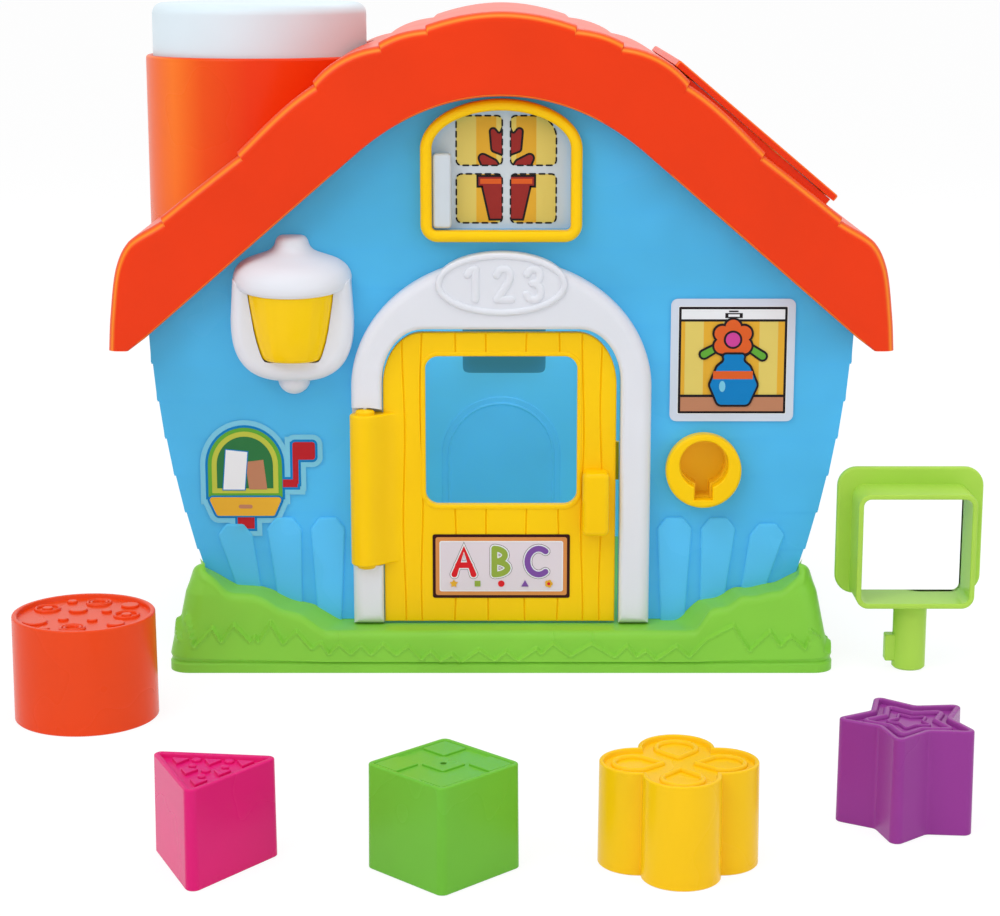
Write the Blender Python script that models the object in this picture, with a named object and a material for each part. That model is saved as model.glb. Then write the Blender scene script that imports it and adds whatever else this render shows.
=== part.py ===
"""Shape-sorter playhouse with five loose blocks and a key.

Metres, +Z up. The front faces -Y, +X is to the right, and the origin is the centre of the base's underside.
"""

import math

import bmesh
import bpy
from mathutils import Matrix, Vector

# Clearances and cuts
GAP = 0.0003
RUN = 0.0006
OVER = 0.001
ROUND_STEPS = 32
SMALL_STEPS = 16
CORNER_STEPS = 4
SHORT_SIDE_SHARE = 0.48

# Roof
ROOF_HALF = 0.1698
ROOF_DEPTH = 0.180
EAVE_DROP = 0.009
CREST = 0.0354
ARCH_CLEAR = 0.0014
ROOF_SKIN = 0.003
SHINGLE_STEP = 0.0025
FASCIA = 0.012
RIDGE_SHARES = ((0.0, 1.0), (0.07, 0.994), (0.13, 0.980))
ROW_SHARES = ((0.19, 0.959), (0.307, 0.908), (0.471, 0.795), (0.663, 0.589), (0.86, 0.397))
EAVE_SHARES = ((0.942, 0.325), (0.973, 0.257), (0.9935, 0.104), (1.0, 0.0))
ARCH_FOOT_SHARES = ((0.948, 0.0), (0.903, 0.04))
ARCH_SPRING_SHARE = (0.353, 0.596)
ARCH_PULL_SHARE = 0.19

# Base
BASE_HALF = 0.1462
BASE_HALF_DEPTH = 0.100
BASE_SHOULDER_Z = 0.034
BASE_SHOULDER_IN = 0.0068
BASE_SHOULDER_DEPTH_IN = 0.0050
BASE_TAPER = 0.0122
BASE_DEPTH_TAPER = 0.0090
BASE_CORNER = 0.009
FLOOR_Z = 0.018
FLOOR = 0.0028
HILL_Z = 0.048
FOOT_RIM = 0.0046
FOOT_STEP = 0.0009
BASE_WALL = 0.006
PLATE = 0.003
BOSS_R = 0.005
BOSS_INSET = 0.016
SCREW_R = 0.0013
SCREW_HEAD_R = 0.003
SCREW_HEAD = 0.0012
SCREW_LENGTH = 0.010
LEFT_HILL_SHARES = (
    (0.50, 0.0),
    (0.57, 0.24),
    (0.635, 0.32),
    (0.685, 0.47),
    (0.72, 0.53),
    (0.79, 0.55),
    (0.835, 0.73),
    (0.865, 0.82),
    (0.90, 0.87),
    (0.915, 1.0),
)
RIGHT_HILL_SHARES = (
    (0.55, 0.0),
    (0.60, 0.32),
    (0.65, 0.35),
    (0.695, 0.51),
    (0.735, 0.50),
    (0.78, 0.565),
    (0.81, 0.57),
    (0.845, 0.69),
    (0.875, 0.78),
    (0.90, 0.80),
    (0.92, 1.0),
)
SIDE_HILL_SHARES = ((0.25, 0.42), (0.50, 0.40), (0.62, 0.62), (0.75, 0.70), (0.84, 0.92))

# Walls
WALL = 0.0025
WALL_INSET = 0.0234
SHOULDER_INSET = 0.0152
SHOULDER_RISE = 0.0305
WALL_BOW = 0.0075
LAP = 0.0014
LAP_PITCH = 0.0167
LAP_START = 0.0010
PICKET_WIDTH = 0.0154
PICKET_TOP = 0.0650
PICKET_POINT = 0.0055
PICKET_PROUD = 0.0014
PICKET_STRIP = 0.0512
PICKET_TOP_SHARE = 0.62
PICKET_FOOT_SHARE = 0.69
PICKET_SHARES = ((0.195, 1.0, 0.02), (0.574, 1.0, 0.14), (1.0, 0.957, 0.39))
STICKER = 0.0004
RELIEF = 0.0010
REAR_ARCH_HALF = 0.030
REAR_ARCH_Z = 0.091

# Doorway, door frame and hinge
DOORWAY_HALF = 0.0533
DOORWAY_TALL = 0.1325
DOORWAY_CORNER = 0.018
DOOR_STOP = 0.0045
FRAME_SIDE = 0.0135
FRAME_CROWN = 0.0368
FRAME_RISE = 0.0578
FRAME_PROUD = 0.010
FRAME_FLANGE = 0.0014
PLAQUE_DROP = 0.0163
PLAQUE_HALF = 0.0284
PLAQUE_RISE = 0.0136
PLAQUE_RIM = 0.0022
PLAQUE_PROUD = 0.0012
HINGE_R = 0.0067
HINGE_REST = 0.0005
HINGE_GAP = 0.0006
PIN_R = 0.0016
UPPER_KNUCKLE_DROP = 0.0365
LOWER_KNUCKLE = 0.0275

# Door
DOOR_THICK = 0.004
DOOR_SIDE_GAP = 0.0031
DOOR_TOP_GAP = 0.0017
DOOR_FOOT_GAP = 0.0010
DOOR_BACK_GAP = 0.0008
GROOVE = 0.0010
GROOVE_SHARES = (-0.84, -0.68, -0.40, -0.12, 0.20, 0.48, 0.69, 0.86)
PANE_HALF = 0.0331
PANE_DROP = 0.0121
PANE_TALL = 0.0662
PANE_CORNER = 0.0057
PANE_RIM = 0.0022
PANE_RIM_PROUD = 0.0012
HANDLE_INSET = 0.0120
HANDLE_WIDTH = 0.0118
HANDLE_LOW = 0.0594
HANDLE_TALL = 0.0289
HANDLE_PROUD = 0.0085
LABEL_HALF = 0.0306
LABEL_LOW = 0.0297
LABEL_TALL = 0.0294
HOOK = 0.003
HOOK_HALF = 0.006
HOOK_INSET = 0.0022

# Lock
LOCK_AWAY = 0.0356
LOCK_Z = 0.0870
RING_R = 0.0167
RING_PROUD = 0.006
KEYHOLE_R = 0.0108
KEYHOLE_RISE = 0.0028
KEY_SLOT_HALF = 0.0040
KEY_SLOT_DROP = 0.0131
ROTOR_R = 0.0138
ROTOR_DEPTH = 0.0108
SOCKET_DEPTH = 0.008
SOCKET_INSET = 0.0008
CRANK_R = 0.005
CRANK_PIN_R = 0.0018
CRANK_PIN_LENGTH = 0.0036
CRANK_START_DEG = 45.0
YOKE_CLEAR = 0.0005
BOLT_THICK = 0.003
BOLT_HALF = 0.0074
BOLT_REACH = 0.0025
BOLT_LAND = 0.005
CASE_WALL = 0.002
CASE_REACH = 0.022

# Upper window, shutter and its track
WINDOW_HALF = 0.0348
WINDOW_REST = 0.0004
WINDOW_SIDE = 0.0397
WINDOW_RISE = 0.0215
WINDOW_BAR = 0.005
WINDOW_PROUD = 0.006
SHUTTER_THICK = 0.002
SHUTTER_LAP = 0.0015
SHUTTER_TRAVEL = 0.050
SHUTTER_CORNER = 0.016
GRAB_WIDTH = 0.0080
GRAB_PROUD = 0.0078
GRAB_REST = 0.0009
GRAB_DROP = 0.0019
SASH_SINK = 0.0006
SASH_COLUMN_SHARES = ((-0.62, 0.01), (0.128, 0.754))
SASH_ROW_SHARES = ((0.09, 0.48), (0.548, 0.94))
TRACK_PLATE = 0.0015
TRACK_LEDGE = 0.003
TRACK_HIGH_HALF = 0.040
CARD = 0.0006

# Lamp
LAMP_AWAY = 0.0225
LAMP_HALF = 0.0265
LAMP_DROP = 0.0230
LAMP_WAIST = 0.0275
LAMP_ROUND_SHARE = 0.73
LAMP_TALL = 0.0447
LAMP_BROW = 0.0040
LAMP_BROW_R = 0.0257
LAMP_BELL = 0.0185
LAMP_BELL_PULL = 0.0075
LAMP_NUB_R = 0.0068
LAMP_NUB = 0.0047
LAMP_TAIL = 0.0067
LAMP_PLATE = 0.012
LENS_TOP_R = 0.0196
LENS_FOOT_R = 0.0150
LENS_REST = 0.0115
LENS_BACK_GAP = 0.0045
LENS_TRAVEL = 0.003
LENS_CLEAR = 0.0005
LENS_SPRING_R = 0.0050
LENS_WIRE_R = 0.0004
LENS_TURNS = 3
LAMP_BOARD = 0.0016
LAMP_BOARD_HALF = 0.015

# Stickers on the front wall
PICTURE_AWAY = 0.0341
PICTURE_DROP = 0.0149
PICTURE_HALF = 0.0271
POST_AWAY = 0.0395
POST_Z = 0.0828
POST_HALF = 0.0248
PAD_MARGIN = 0.0010

# Chimney
CHIMNEY_INSET = 0.0578
CHIMNEY_Y = 0.018
TUBE_R = 0.0527
TUBE_WALL = 0.0028
TUBE_DROP = 0.0221
TUBE_SEAT_RISE = 0.0535
DECK_DROP = 0.0316
TUBE_DECK = 0.003
CAP_R = 0.0494
CAP_RISE = 0.0237
CAP_SKIRT = 0.0136
CAP_WALL = 0.0025
CAP_EDGE = 0.0050
CAP_TRAVEL = 0.008
STEM_R = 0.004
STEM_CLEAR = 0.0004
STEM_REACH = 0.007
CAP_BOSS = 0.0253
CAP_BOSS_R = 0.012
CAP_SPRING_R = 0.0085
CAP_WIRE_R = 0.0007
CAP_TURNS = 6
SWITCH_X_OFFSET = 0.026
SWITCH_HALF = 0.006
SWITCH_TALL = 0.009
PLUNGER_R = 0.003

# Sorter lid on the right slope
LID_TOP_SHARE = (0.4505, 0.853)
LID_END_SHARE = (0.8534, 0.4563)
LID_HALF = 0.080
LID = 0.003
LID_HINGE_R = 0.0022
LID_HINGE_HALF = 0.060
LID_START = 0.0032
EAR = 0.007
LID_PIN_R = 0.0010
CURB = 0.004
CURB_START = 0.007
CURB_END_GAP = 0.0015
CURB_DEPTH = 0.0057
LID_MARGIN = 0.0035
HOLE_CLEAR = 0.0008

# Loose blocks: centre, size and height of each
ROUND_X = -0.1722
ROUND_Y = -0.1565
ROUND_R = 0.0296
ROUND_TALL = 0.044
TRIANGLE_X = -0.1016
TRIANGLE_Y = -0.3215
TRIANGLE_R = 0.0276
TRIANGLE_TALL = 0.036
TRIANGLE_TURN_DEG = -7
CUBE_X = -0.0200
CUBE_Y = -0.3237
CUBE_SIDE = 0.0385
CUBE_TALL = 0.038
CUBE_TURN_DEG = 45
CUBE_RIM = 0.0020
CUBE_SINK = 0.0010
CUBE_DIMPLE_R = 0.0012
FLOWER_X = 0.0614
FLOWER_Y = -0.3182
FLOWER_R = 0.0280
FLOWER_LOBE_R = 0.0138
FLOWER_TALL = 0.037
FLOWER_TURN_DEG = 45
STAR_X = 0.1476
STAR_Y = -0.2786
STAR_R = 0.0284
STAR_INNER_SHARE = 0.56
STAR_TALL = 0.039
STAR_TURN_DEG = 18
BLOCK_EDGE = 0.0030
BLOCK_RIM = 0.0028
BLOCK_SINK = 0.0018

# Side wall sorter holes
SIDE_HOLE_Z = 0.090

# Key
KEY_AWAY = 0.0342
KEY_Y = -0.0900
KEY_HEAD_HALF = 0.0258
KEY_HEAD_LOW = 0.0296
KEY_HEAD_TALL = 0.0512
KEY_HEAD_DEPTH = 0.024
KEY_BAR = 0.0023
KEY_HEAD_CORNER = 0.0055
KEY_FLANGE_HALF = 0.0322
KEY_FLANGE_REST = 0.0014
KEY_FLANGE_RISE = 0.0076
KEY_FLANGE_CORNER = 0.0085
KEY_FLANGE = 0.003
KEY_STEM_R = 0.0073
KEY_BIT = 0.0036
KEY_BIT_LOW = 0.0033
KEY_BIT_TALL = 0.0120
KEY_BIT_THICK = 0.006

# Sound unit under the floor
UNIT_HALF = 0.044
UNIT_Y = 0.042
UNIT_HALF_DEPTH = 0.028
UNIT_TALL = 0.0110
BATTERY_DOOR_HALF = 0.034
BATTERY_DOOR_HALF_DEPTH = 0.020
SPEAKER_INSET = 0.0562
SPEAKER_R = 0.020
SPEAKER_TALL = 0.0080
GRILLE_R = 0.0016
GRILLE_RING_R = 0.008
GRILLE_HOLES = 6

# Rear catch
CATCH_X = 0.0015
CATCH_HALF = 0.0208
CATCH_LOW = 0.1030
CATCH_TALL = 0.0320
CATCH = 0.003
CATCH_CORNER = 0.006

# Heights, each from the ones below it
DOORWAY_TOP = FLOOR_Z + DOORWAY_TALL
FRAME_TOP = DOORWAY_TOP + FRAME_CROWN
FRAME_SPRING_Z = FRAME_TOP - FRAME_RISE
PLAQUE_Z = FRAME_TOP - PLAQUE_DROP
UPPER_KNUCKLE_Z = DOORWAY_TOP - UPPER_KNUCKLE_DROP
LOWER_KNUCKLE_Z = FLOOR_Z + LOWER_KNUCKLE
PANE_HIGH = DOORWAY_TOP - PANE_DROP
PANE_LOW = PANE_HIGH - PANE_TALL
HANDLE_HIGH = HANDLE_LOW + HANDLE_TALL
LABEL_HIGH = LABEL_LOW + LABEL_TALL
WINDOW_LOW = FRAME_TOP + WINDOW_REST
WINDOW_SPRING = WINDOW_LOW + WINDOW_SIDE
WINDOW_TOP = WINDOW_SPRING + WINDOW_RISE
GRAB_LOW = WINDOW_LOW + WINDOW_BAR + GRAB_REST
GRAB_HIGH = WINDOW_SPRING - GRAB_DROP
EAVE_Z = DOORWAY_TOP - EAVE_DROP
ARCH_TOP_Z = WINDOW_TOP + ARCH_CLEAR
RIDGE_Z = ARCH_TOP_Z + CREST
SHOULDER_Z = EAVE_Z + SHOULDER_RISE
LAMP_LOW = DOORWAY_TOP - LAMP_DROP
LAMP_BROW_Z = LAMP_LOW + LAMP_TALL
LAMP_TOP = LAMP_BROW_Z + LAMP_BELL
LENS_FOOT_Z = LAMP_LOW + LENS_REST
LENS_TOP_Z = LAMP_BROW_Z - LAMP_BROW - LENS_CLEAR
PICTURE_Z = DOORWAY_TOP - PICTURE_DROP
TUBE_TOP = RIDGE_Z - TUBE_DROP
TUBE_SEAT = EAVE_Z + TUBE_SEAT_RISE
TUBE_DECK_Z = TUBE_TOP - DECK_DROP
CAP_TOP = TUBE_TOP + CAP_RISE
CAP_SKIRT_Z = TUBE_TOP - CAP_SKIRT
BOSS_FOOT = CAP_TOP - CAP_BOSS
STEM_FOOT = TUBE_DECK_Z - STEM_REACH
CATCH_HIGH = CATCH_LOW + CATCH_TALL

# Places across the house
FRAME_HALF = DOORWAY_HALF + FRAME_SIDE
WALL_FOOT_HALF = BASE_HALF - WALL_INSET
WALL_SHOULDER_HALF = ROOF_HALF - SHOULDER_INSET
HANDLE_X = DOORWAY_HALF - HANDLE_INSET
BOLT_TIP_X = DOORWAY_HALF - BOLT_REACH
LOCK_X = DOORWAY_HALF + LOCK_AWAY
LAMP_X = -FRAME_HALF - LAMP_AWAY
PICTURE_X = FRAME_HALF + PICTURE_AWAY
POST_X = -FRAME_HALF - POST_AWAY
CHIMNEY_X = -ROOF_HALF + CHIMNEY_INSET
SPEAKER_X = -BASE_HALF + SPEAKER_INSET
KEY_X = BASE_HALF + KEY_AWAY
LID_TOP_X, LID_TOP_Z = ROOF_HALF * LID_TOP_SHARE[0], EAVE_Z + (RIDGE_Z - EAVE_Z) * LID_TOP_SHARE[1]
LID_END_X, LID_END_Z = ROOF_HALF * LID_END_SHARE[0], EAVE_Z + (RIDGE_Z - EAVE_Z) * LID_END_SHARE[1]

# Planes that several pieces share
FASCIA_BACK = -ROOF_DEPTH / 2 + FASCIA
CREST_Y = FASCIA_BACK + GAP
FACE_Y = CREST_Y + LAP
WALL_BACK_Y = FACE_Y + WALL
MOUNT_Y = CREST_Y - GAP
FRAME_FRONT_Y = MOUNT_Y - FRAME_PROUD
HINGE_X = -DOORWAY_HALF - HINGE_REST - HINGE_R + RUN * 2
HINGE_Y = MOUNT_Y - FRAME_FLANGE - GAP * 2 - HINGE_R
DOOR_BACK_Y = MOUNT_Y - FRAME_FLANGE - DOOR_BACK_GAP
DOOR_FRONT_Y = DOOR_BACK_Y - DOOR_THICK
FRAME_FOOT = FLOOR_Z + GAP
DOOR_FOOT = FLOOR_Z + DOOR_FOOT_GAP
DOOR_TOP = DOORWAY_TOP - DOOR_TOP_GAP
DOOR_LEFT = HINGE_X + HINGE_R + RUN
DOOR_RIGHT = DOORWAY_HALF - DOOR_SIDE_GAP
WALL_FOOT = FLOOR_Z + GAP
ROTOR_FRONT_Y = MOUNT_Y + GAP
ROTOR_BACK_Y = ROTOR_FRONT_Y + ROTOR_DEPTH
BOLT_FRONT_Y = ROTOR_BACK_Y + GAP
BOLT_BACK_Y = BOLT_FRONT_Y + BOLT_THICK
BOLT_TRAVEL = CRANK_R * math.sin(math.radians(CRANK_START_DEG)) * 2
LID_LENGTH = math.hypot(LID_END_X - LID_TOP_X, LID_END_Z - LID_TOP_Z)
LID_SLOPE = math.atan2(LID_TOP_Z - LID_END_Z, LID_END_X - LID_TOP_X)

COLOURS = {
    "roof_orange": ((0.80, 0.055, 0.008), 0.35),
    "cap_white": ((0.76, 0.80, 0.84), 0.40),
    "wall_blue": ((0.02, 0.40, 0.66), 0.22),
    "grass_green": ((0.22, 0.56, 0.05), 0.40),
    "frame_white": ((0.76, 0.78, 0.84), 0.35),
    "yellow": ((0.92, 0.58, 0.005), 0.35),
    "key_green": ((0.38, 0.67, 0.05), 0.38),
    "block_orange": ((0.83, 0.10, 0.01), 0.38),
    "block_pink": ((0.75, 0.005, 0.18), 0.38),
    "block_green": ((0.19, 0.52, 0.04), 0.38),
    "block_yellow": ((0.90, 0.60, 0.01), 0.38),
    "block_purple": ((0.33, 0.05, 0.33), 0.38),
    "sticker_paper": ((0.85, 0.60, 0.20), 0.50),
    "board_green": ((0.02, 0.18, 0.06), 0.50),
    "dark_plastic": ((0.03, 0.03, 0.035), 0.50),
    "steel": ((0.60, 0.60, 0.62), 0.30),
}


def look(name):
    """The named material, made once."""
    if name in bpy.data.materials:
        return bpy.data.materials[name]
    colour, roughness = COLOURS[name]
    made = bpy.data.materials.new(name)
    made.use_nodes = True
    shader = made.node_tree.nodes["Principled BSDF"]
    shader.inputs["Base Color"].default_value = (*colour, 1.0)
    shader.inputs["Roughness"].default_value = roughness
    shader.inputs["Metallic"].default_value = 1.0 if name == "steel" else 0.0
    return made


# Outlines


def arc(centre, radii, start, end, steps):
    """Points on an ellipse's arc, angles in degrees."""
    points = []
    for i in range(steps + 1):
        turn = math.radians(start + (end - start) * i / steps)
        points.append((centre[0] + radii[0] * math.cos(turn), centre[1] + radii[1] * math.sin(turn)))
    return points


def circle(centre, radius, steps=ROUND_STEPS):
    return arc(centre, (radius, radius), 0, 360, steps)[:-1]


def rectangle(low, high):
    return [low, (high[0], low[1]), high, (low[0], high[1])]


def filleted(points, radius, steps=CORNER_STEPS):
    """A closed outline with each corner rounded to the radius, or less on a short side."""
    made = []
    count = len(points)
    for i in range(count):
        before, here, after = (Vector(points[(i + k) % count]) for k in (-1, 0, 1))
        into, out = (before - here), (after - here)
        half = into.angle(out) / 2
        reach = min(radius / math.tan(half), into.length * SHORT_SIDE_SHARE, out.length * SHORT_SIDE_SHARE)
        size = reach * math.tan(half)
        middle = here + (into.normalized() + out.normalized()).normalized() * (size / math.sin(half))
        first = here + into.normalized() * reach
        last = here + out.normalized() * reach
        turn = (first - middle).angle_signed(last - middle)
        for k in range(steps + 1):
            made.append(tuple(middle + Matrix.Rotation(-turn * k / steps, 2) @ (first - middle)))
    return made


def bend(start, pull, end, steps):
    """Points on a quadratic curve, without its first one."""
    points = []
    for i in range(1, steps + 1):
        t = i / steps
        points.append(
            tuple(
                start[k] * (1 - t) ** 2 + pull[k] * 2 * t * (1 - t) + end[k] * t * t for k in (0, 1)
            )
        )
    return points


def mirrored(points):
    """An open line's points with their mirror images in X in front of them."""
    return [(-x, z) for x, z in reversed(points) if x > 0] + points


# Solids


def place(axis, a, b, along):
    return {"X": (along, a, b), "Y": (a, along, b), "Z": (a, b, along)}[axis]


def loft(rings):
    """A closed body through rings of points, each with the same count."""
    body = bmesh.new()
    made = [[body.verts.new(point) for point in ring] for ring in rings]
    count = len(made[0])
    for low, high in zip(made, made[1:]):
        for i in range(count):
            k = (i + 1) % count
            body.faces.new((low[i], low[k], high[k], high[i]))
    body.faces.new(made[0])
    body.faces.new(made[-1])
    bmesh.ops.recalc_face_normals(body, faces=body.faces)
    return body


def prism(outline, low, high, axis="Y"):
    return loft([[place(axis, a, b, t) for a, b in outline] for t in (low, high)])


def box(low, high):
    return prism(rectangle(low[:2], high[:2]), low[2], high[2], "Z")


def turned(profile, centre, steps=ROUND_STEPS, axis="Z", ring=False):
    """A profile of (radius, place along the axis) turned about the axis through centre.

    It starts and ends on the axis, or is a closed ring that stays clear of it.
    """
    body = bmesh.new()
    loops = []
    for radius, along in profile:
        if radius == 0:
            loops.append([body.verts.new(place(axis, centre[0], centre[1], along))] * steps)
            continue
        points = circle(centre, radius, steps)
        loops.append([body.verts.new(place(axis, a, b, along)) for a, b in points])
    pairs = list(zip(loops, loops[1:]))
    if ring:
        pairs.append((loops[-1], loops[0]))
    for low, high in pairs:
        for i in range(steps):
            k = (i + 1) % steps
            corners = []
            for corner in (low[i], low[k], high[k], high[i]):
                if corner not in corners:
                    corners.append(corner)
            body.faces.new(corners)
    bmesh.ops.recalc_face_normals(body, faces=body.faces)
    return body


def disc(centre, radius, low, high, axis="Z", steps=ROUND_STEPS):
    return prism(circle(centre, radius, steps), low, high, axis)


def moved(body, matrix):
    body.transform(matrix)
    return body


def make(name, body, colour, pivot=(0, 0, 0)):
    """An object from a body in the model's frame, with its origin at the pivot."""
    mesh = bpy.data.meshes.new(name)
    body.to_mesh(mesh)
    body.free()
    mesh.transform(Matrix.Translation(-Vector(pivot)))
    mesh.shade_smooth()
    mesh.set_sharp_from_angle(angle=math.radians(30))
    mesh.materials.append(look(colour))
    item = bpy.data.objects.new(name, mesh)
    item.location = pivot
    bpy.context.scene.collection.objects.link(item)
    return item


def shape(target, body, operation):
    """Joins a body to the target, cuts it away or keeps what both hold."""
    count = len(target.modifiers) + 1
    mesh = bpy.data.meshes.new(f"{target.name}_{operation.lower()}_{count}")
    body.to_mesh(mesh)
    body.free()
    tool = bpy.data.objects.new(mesh.name, mesh)
    tool.hide_render = True
    tool.display_type = "WIRE"
    bpy.context.scene.collection.objects.link(tool)
    step = target.modifiers.new(f"{operation.lower()} {count}", "BOOLEAN")
    step.operation = operation
    step.solver = "EXACT"
    step.object = tool


def cut(target, body):
    shape(target, body, "DIFFERENCE")


def join(target, body):
    shape(target, body, "UNION")


def coil(name, centre, radius, wire, low, high, turns, axis):
    """A compression spring: one unbroken helix with filled ends."""
    points_per_turn = 10
    count = turns * points_per_turn
    curve = bpy.data.curves.new(name, "CURVE")
    curve.dimensions = "3D"
    curve.bevel_depth = wire
    curve.bevel_resolution = 1
    curve.use_fill_caps = True
    line = curve.splines.new("POLY")
    line.points.add(count)
    for i in range(count + 1):
        turn = math.tau * i / points_per_turn
        along = low + wire + (high - low - wire * 2) * i / count
        a = centre[0] + radius * math.cos(turn)
        b = centre[1] + radius * math.sin(turn)
        line.points[i].co = (*place(axis, a, b, along), 1)
    curve.materials.append(look("steel"))
    item = bpy.data.objects.new(name, curve)
    bpy.context.scene.collection.objects.link(item)
    pitch = (high - low - wire * 2) / turns
    print(f"{name}: least gap to itself {pitch - wire * 2:.5f} m")
    return item


# Lines of the house


def wall_half(z):
    """Half the house's width at a height: the walls lean outwards and bow a little."""
    share = (z - FLOOR_Z) / (SHOULDER_Z - FLOOR_Z)
    bow = WALL_BOW * 4 * share * (1 - share)
    return WALL_FOOT_HALF + (WALL_SHOULDER_HALF - WALL_FOOT_HALF) * share + bow


def lap_heights(low, high):
    """The heights where one board laps over the next, between two heights."""
    count = int((RIDGE_Z - FLOOR_Z) / LAP_PITCH) + 1
    heights = [FLOOR_Z - LAP_START + LAP_PITCH * i for i in range(count)]
    return [z for z in heights if low < z < high]


def roof_point(share):
    return share[0] * ROOF_HALF, EAVE_Z + share[1] * (RIDGE_Z - EAVE_Z)


def roof_line(inset=None):
    """The roof's upper line: with its shingle steps, or with an inset that far under them."""
    shares = RIDGE_SHARES + ROW_SHARES + EAVE_SHARES
    points = [Vector(roof_point(share)) for share in shares]
    line = []
    for i, here in enumerate(points):
        if i == 0:
            run = Vector((1, 0))
        elif i + 1 == len(points):
            run = Vector((0, -1))
        else:
            run = points[i + 1] - points[i - 1]
        inward = Vector((run.y, -run.x)).normalized()
        if inset is not None:
            line.append(tuple(here + inward * (SHINGLE_STEP + inset)))
            continue
        line.append(tuple(here))
        if shares[i] in ROW_SHARES:
            line.append(tuple(here + inward * SHINGLE_STEP))
    return mirrored(line)


def roof_underside():
    """The arch under the fascia, from the right eave to the left one."""
    foot = [roof_point(share) for share in ARCH_FOOT_SHARES]
    spring = roof_point(ARCH_SPRING_SHARE)
    pull = (ROOF_HALF * ARCH_PULL_SHARE, ARCH_TOP_Z)
    right = foot + [spring] + bend(spring, pull, (0, ARCH_TOP_Z), CORNER_STEPS + 1)
    left = [(-x, z) for x, z in reversed(right) if x > 0]
    return right + left


def hill_line():
    """The grass line across the front and the rear."""
    edge = BASE_HALF + OVER
    rise = HILL_Z - FLOOR_Z
    left = [(-BASE_HALF * a, FLOOR_Z + rise * b) for a, b in reversed(LEFT_HILL_SHARES)]
    right = [(BASE_HALF * a, FLOOR_Z + rise * b) for a, b in RIGHT_HILL_SHARES]
    return [(-edge, HILL_Z)] + left + right + [(edge, HILL_Z)]


def hill_height(x):
    line = hill_line()
    for (x0, z0), (x1, z1) in zip(line, line[1:]):
        if x0 <= x <= x1:
            return z0 + (z1 - z0) * (x - x0) / (x1 - x0)
    return HILL_Z


def lapped(face, out, foot, top):
    """A wall's outer line with its boards' laps. face gives the plain line at a height."""
    points = [(face(foot) + out * LAP, foot)]
    for height in lap_heights(foot, top):
        points.append((face(height), height))
        points.append((face(height) + out * LAP, height))
    points.append((face(top), top))
    return points


def gable_outline(clear):
    """The front and rear walls' outline, under the roof's skin."""
    reach = roof_point(EAVE_SHARES[0])[0] - ROOF_SKIN * 2
    line = [point for point in roof_line(ROOF_SKIN + clear) if abs(point[0]) < reach]
    heights = [WALL_FOOT] + lap_heights(WALL_FOOT, SHOULDER_Z) + [SHOULDER_Z]
    side = [(wall_half(z) + LAP, z) for z in heights]
    return [(-x, z) for x, z in side] + line + list(reversed(side))


def slope_frame():
    """Turns (along the slope, depth, height above it) at the lid's upper edge into the model's frame."""
    turn = Matrix.Rotation(LID_SLOPE, 4, "Y")
    return Matrix.Translation((LID_TOP_X, 0, LID_TOP_Z)) @ turn


def slope_point(along, depth, height):
    return slope_frame() @ Vector((along, depth, height))


# Block outlines, about the origin


def triangle_outline(radius, edge):
    points = [(radius * math.cos(a), radius * math.sin(a)) for a in (math.radians(d) for d in (-90, 30, 150))]
    return filleted(points, edge)


def cube_outline(side, edge):
    return filleted(rectangle((-side / 2, -side / 2), (side / 2, side / 2)), edge)


def flower_outline(reach, lobe):
    """Four round lobes that meet in notches on the axes."""
    away = reach - lobe
    notch = math.degrees(math.asin(away * math.sqrt(0.5) / lobe))
    points = []
    for quarter in range(4):
        turn = math.radians(45 + quarter * 90)
        centre = (away * math.cos(turn), away * math.sin(turn))
        points += arc(centre, (lobe, lobe), quarter * 90 - notch, quarter * 90 + 90 + notch, 8)[:-1]
    return points


def star_outline(radius, edge):
    points = []
    for i in range(10):
        reach = radius if i % 2 == 0 else radius * STAR_INNER_SHARE
        turn = math.radians(90 + 36 * i)
        points.append((reach * math.cos(turn), reach * math.sin(turn)))
    return filleted(points, edge, 2)


def keyhole_outline(grow):
    """The round hole with its slot below it."""
    centre = (LOCK_X, LOCK_Z + KEYHOLE_RISE)
    radius = KEYHOLE_R + grow
    half = KEY_SLOT_HALF + grow
    side = math.degrees(math.asin(half / radius))
    points = arc(centre, (radius, radius), -90 + side, 270 - side, ROUND_STEPS - 4)
    low = LOCK_Z - KEY_SLOT_DROP - grow
    return points + [(LOCK_X - half, low), (LOCK_X + half, low)]


# Base


def base_ring(half, depth, z):
    outline = filleted(rectangle((-half, -depth), (half, depth)), BASE_CORNER)
    return [(x, y, z) for x, y in outline]


def screw_places():
    half = BASE_HALF - BASE_WALL - BOSS_INSET
    depth = BASE_HALF_DEPTH - BASE_WALL - BOSS_INSET
    return [(half * i, depth * k) for i in (-1, 1) for k in (-1, 1)]


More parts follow.
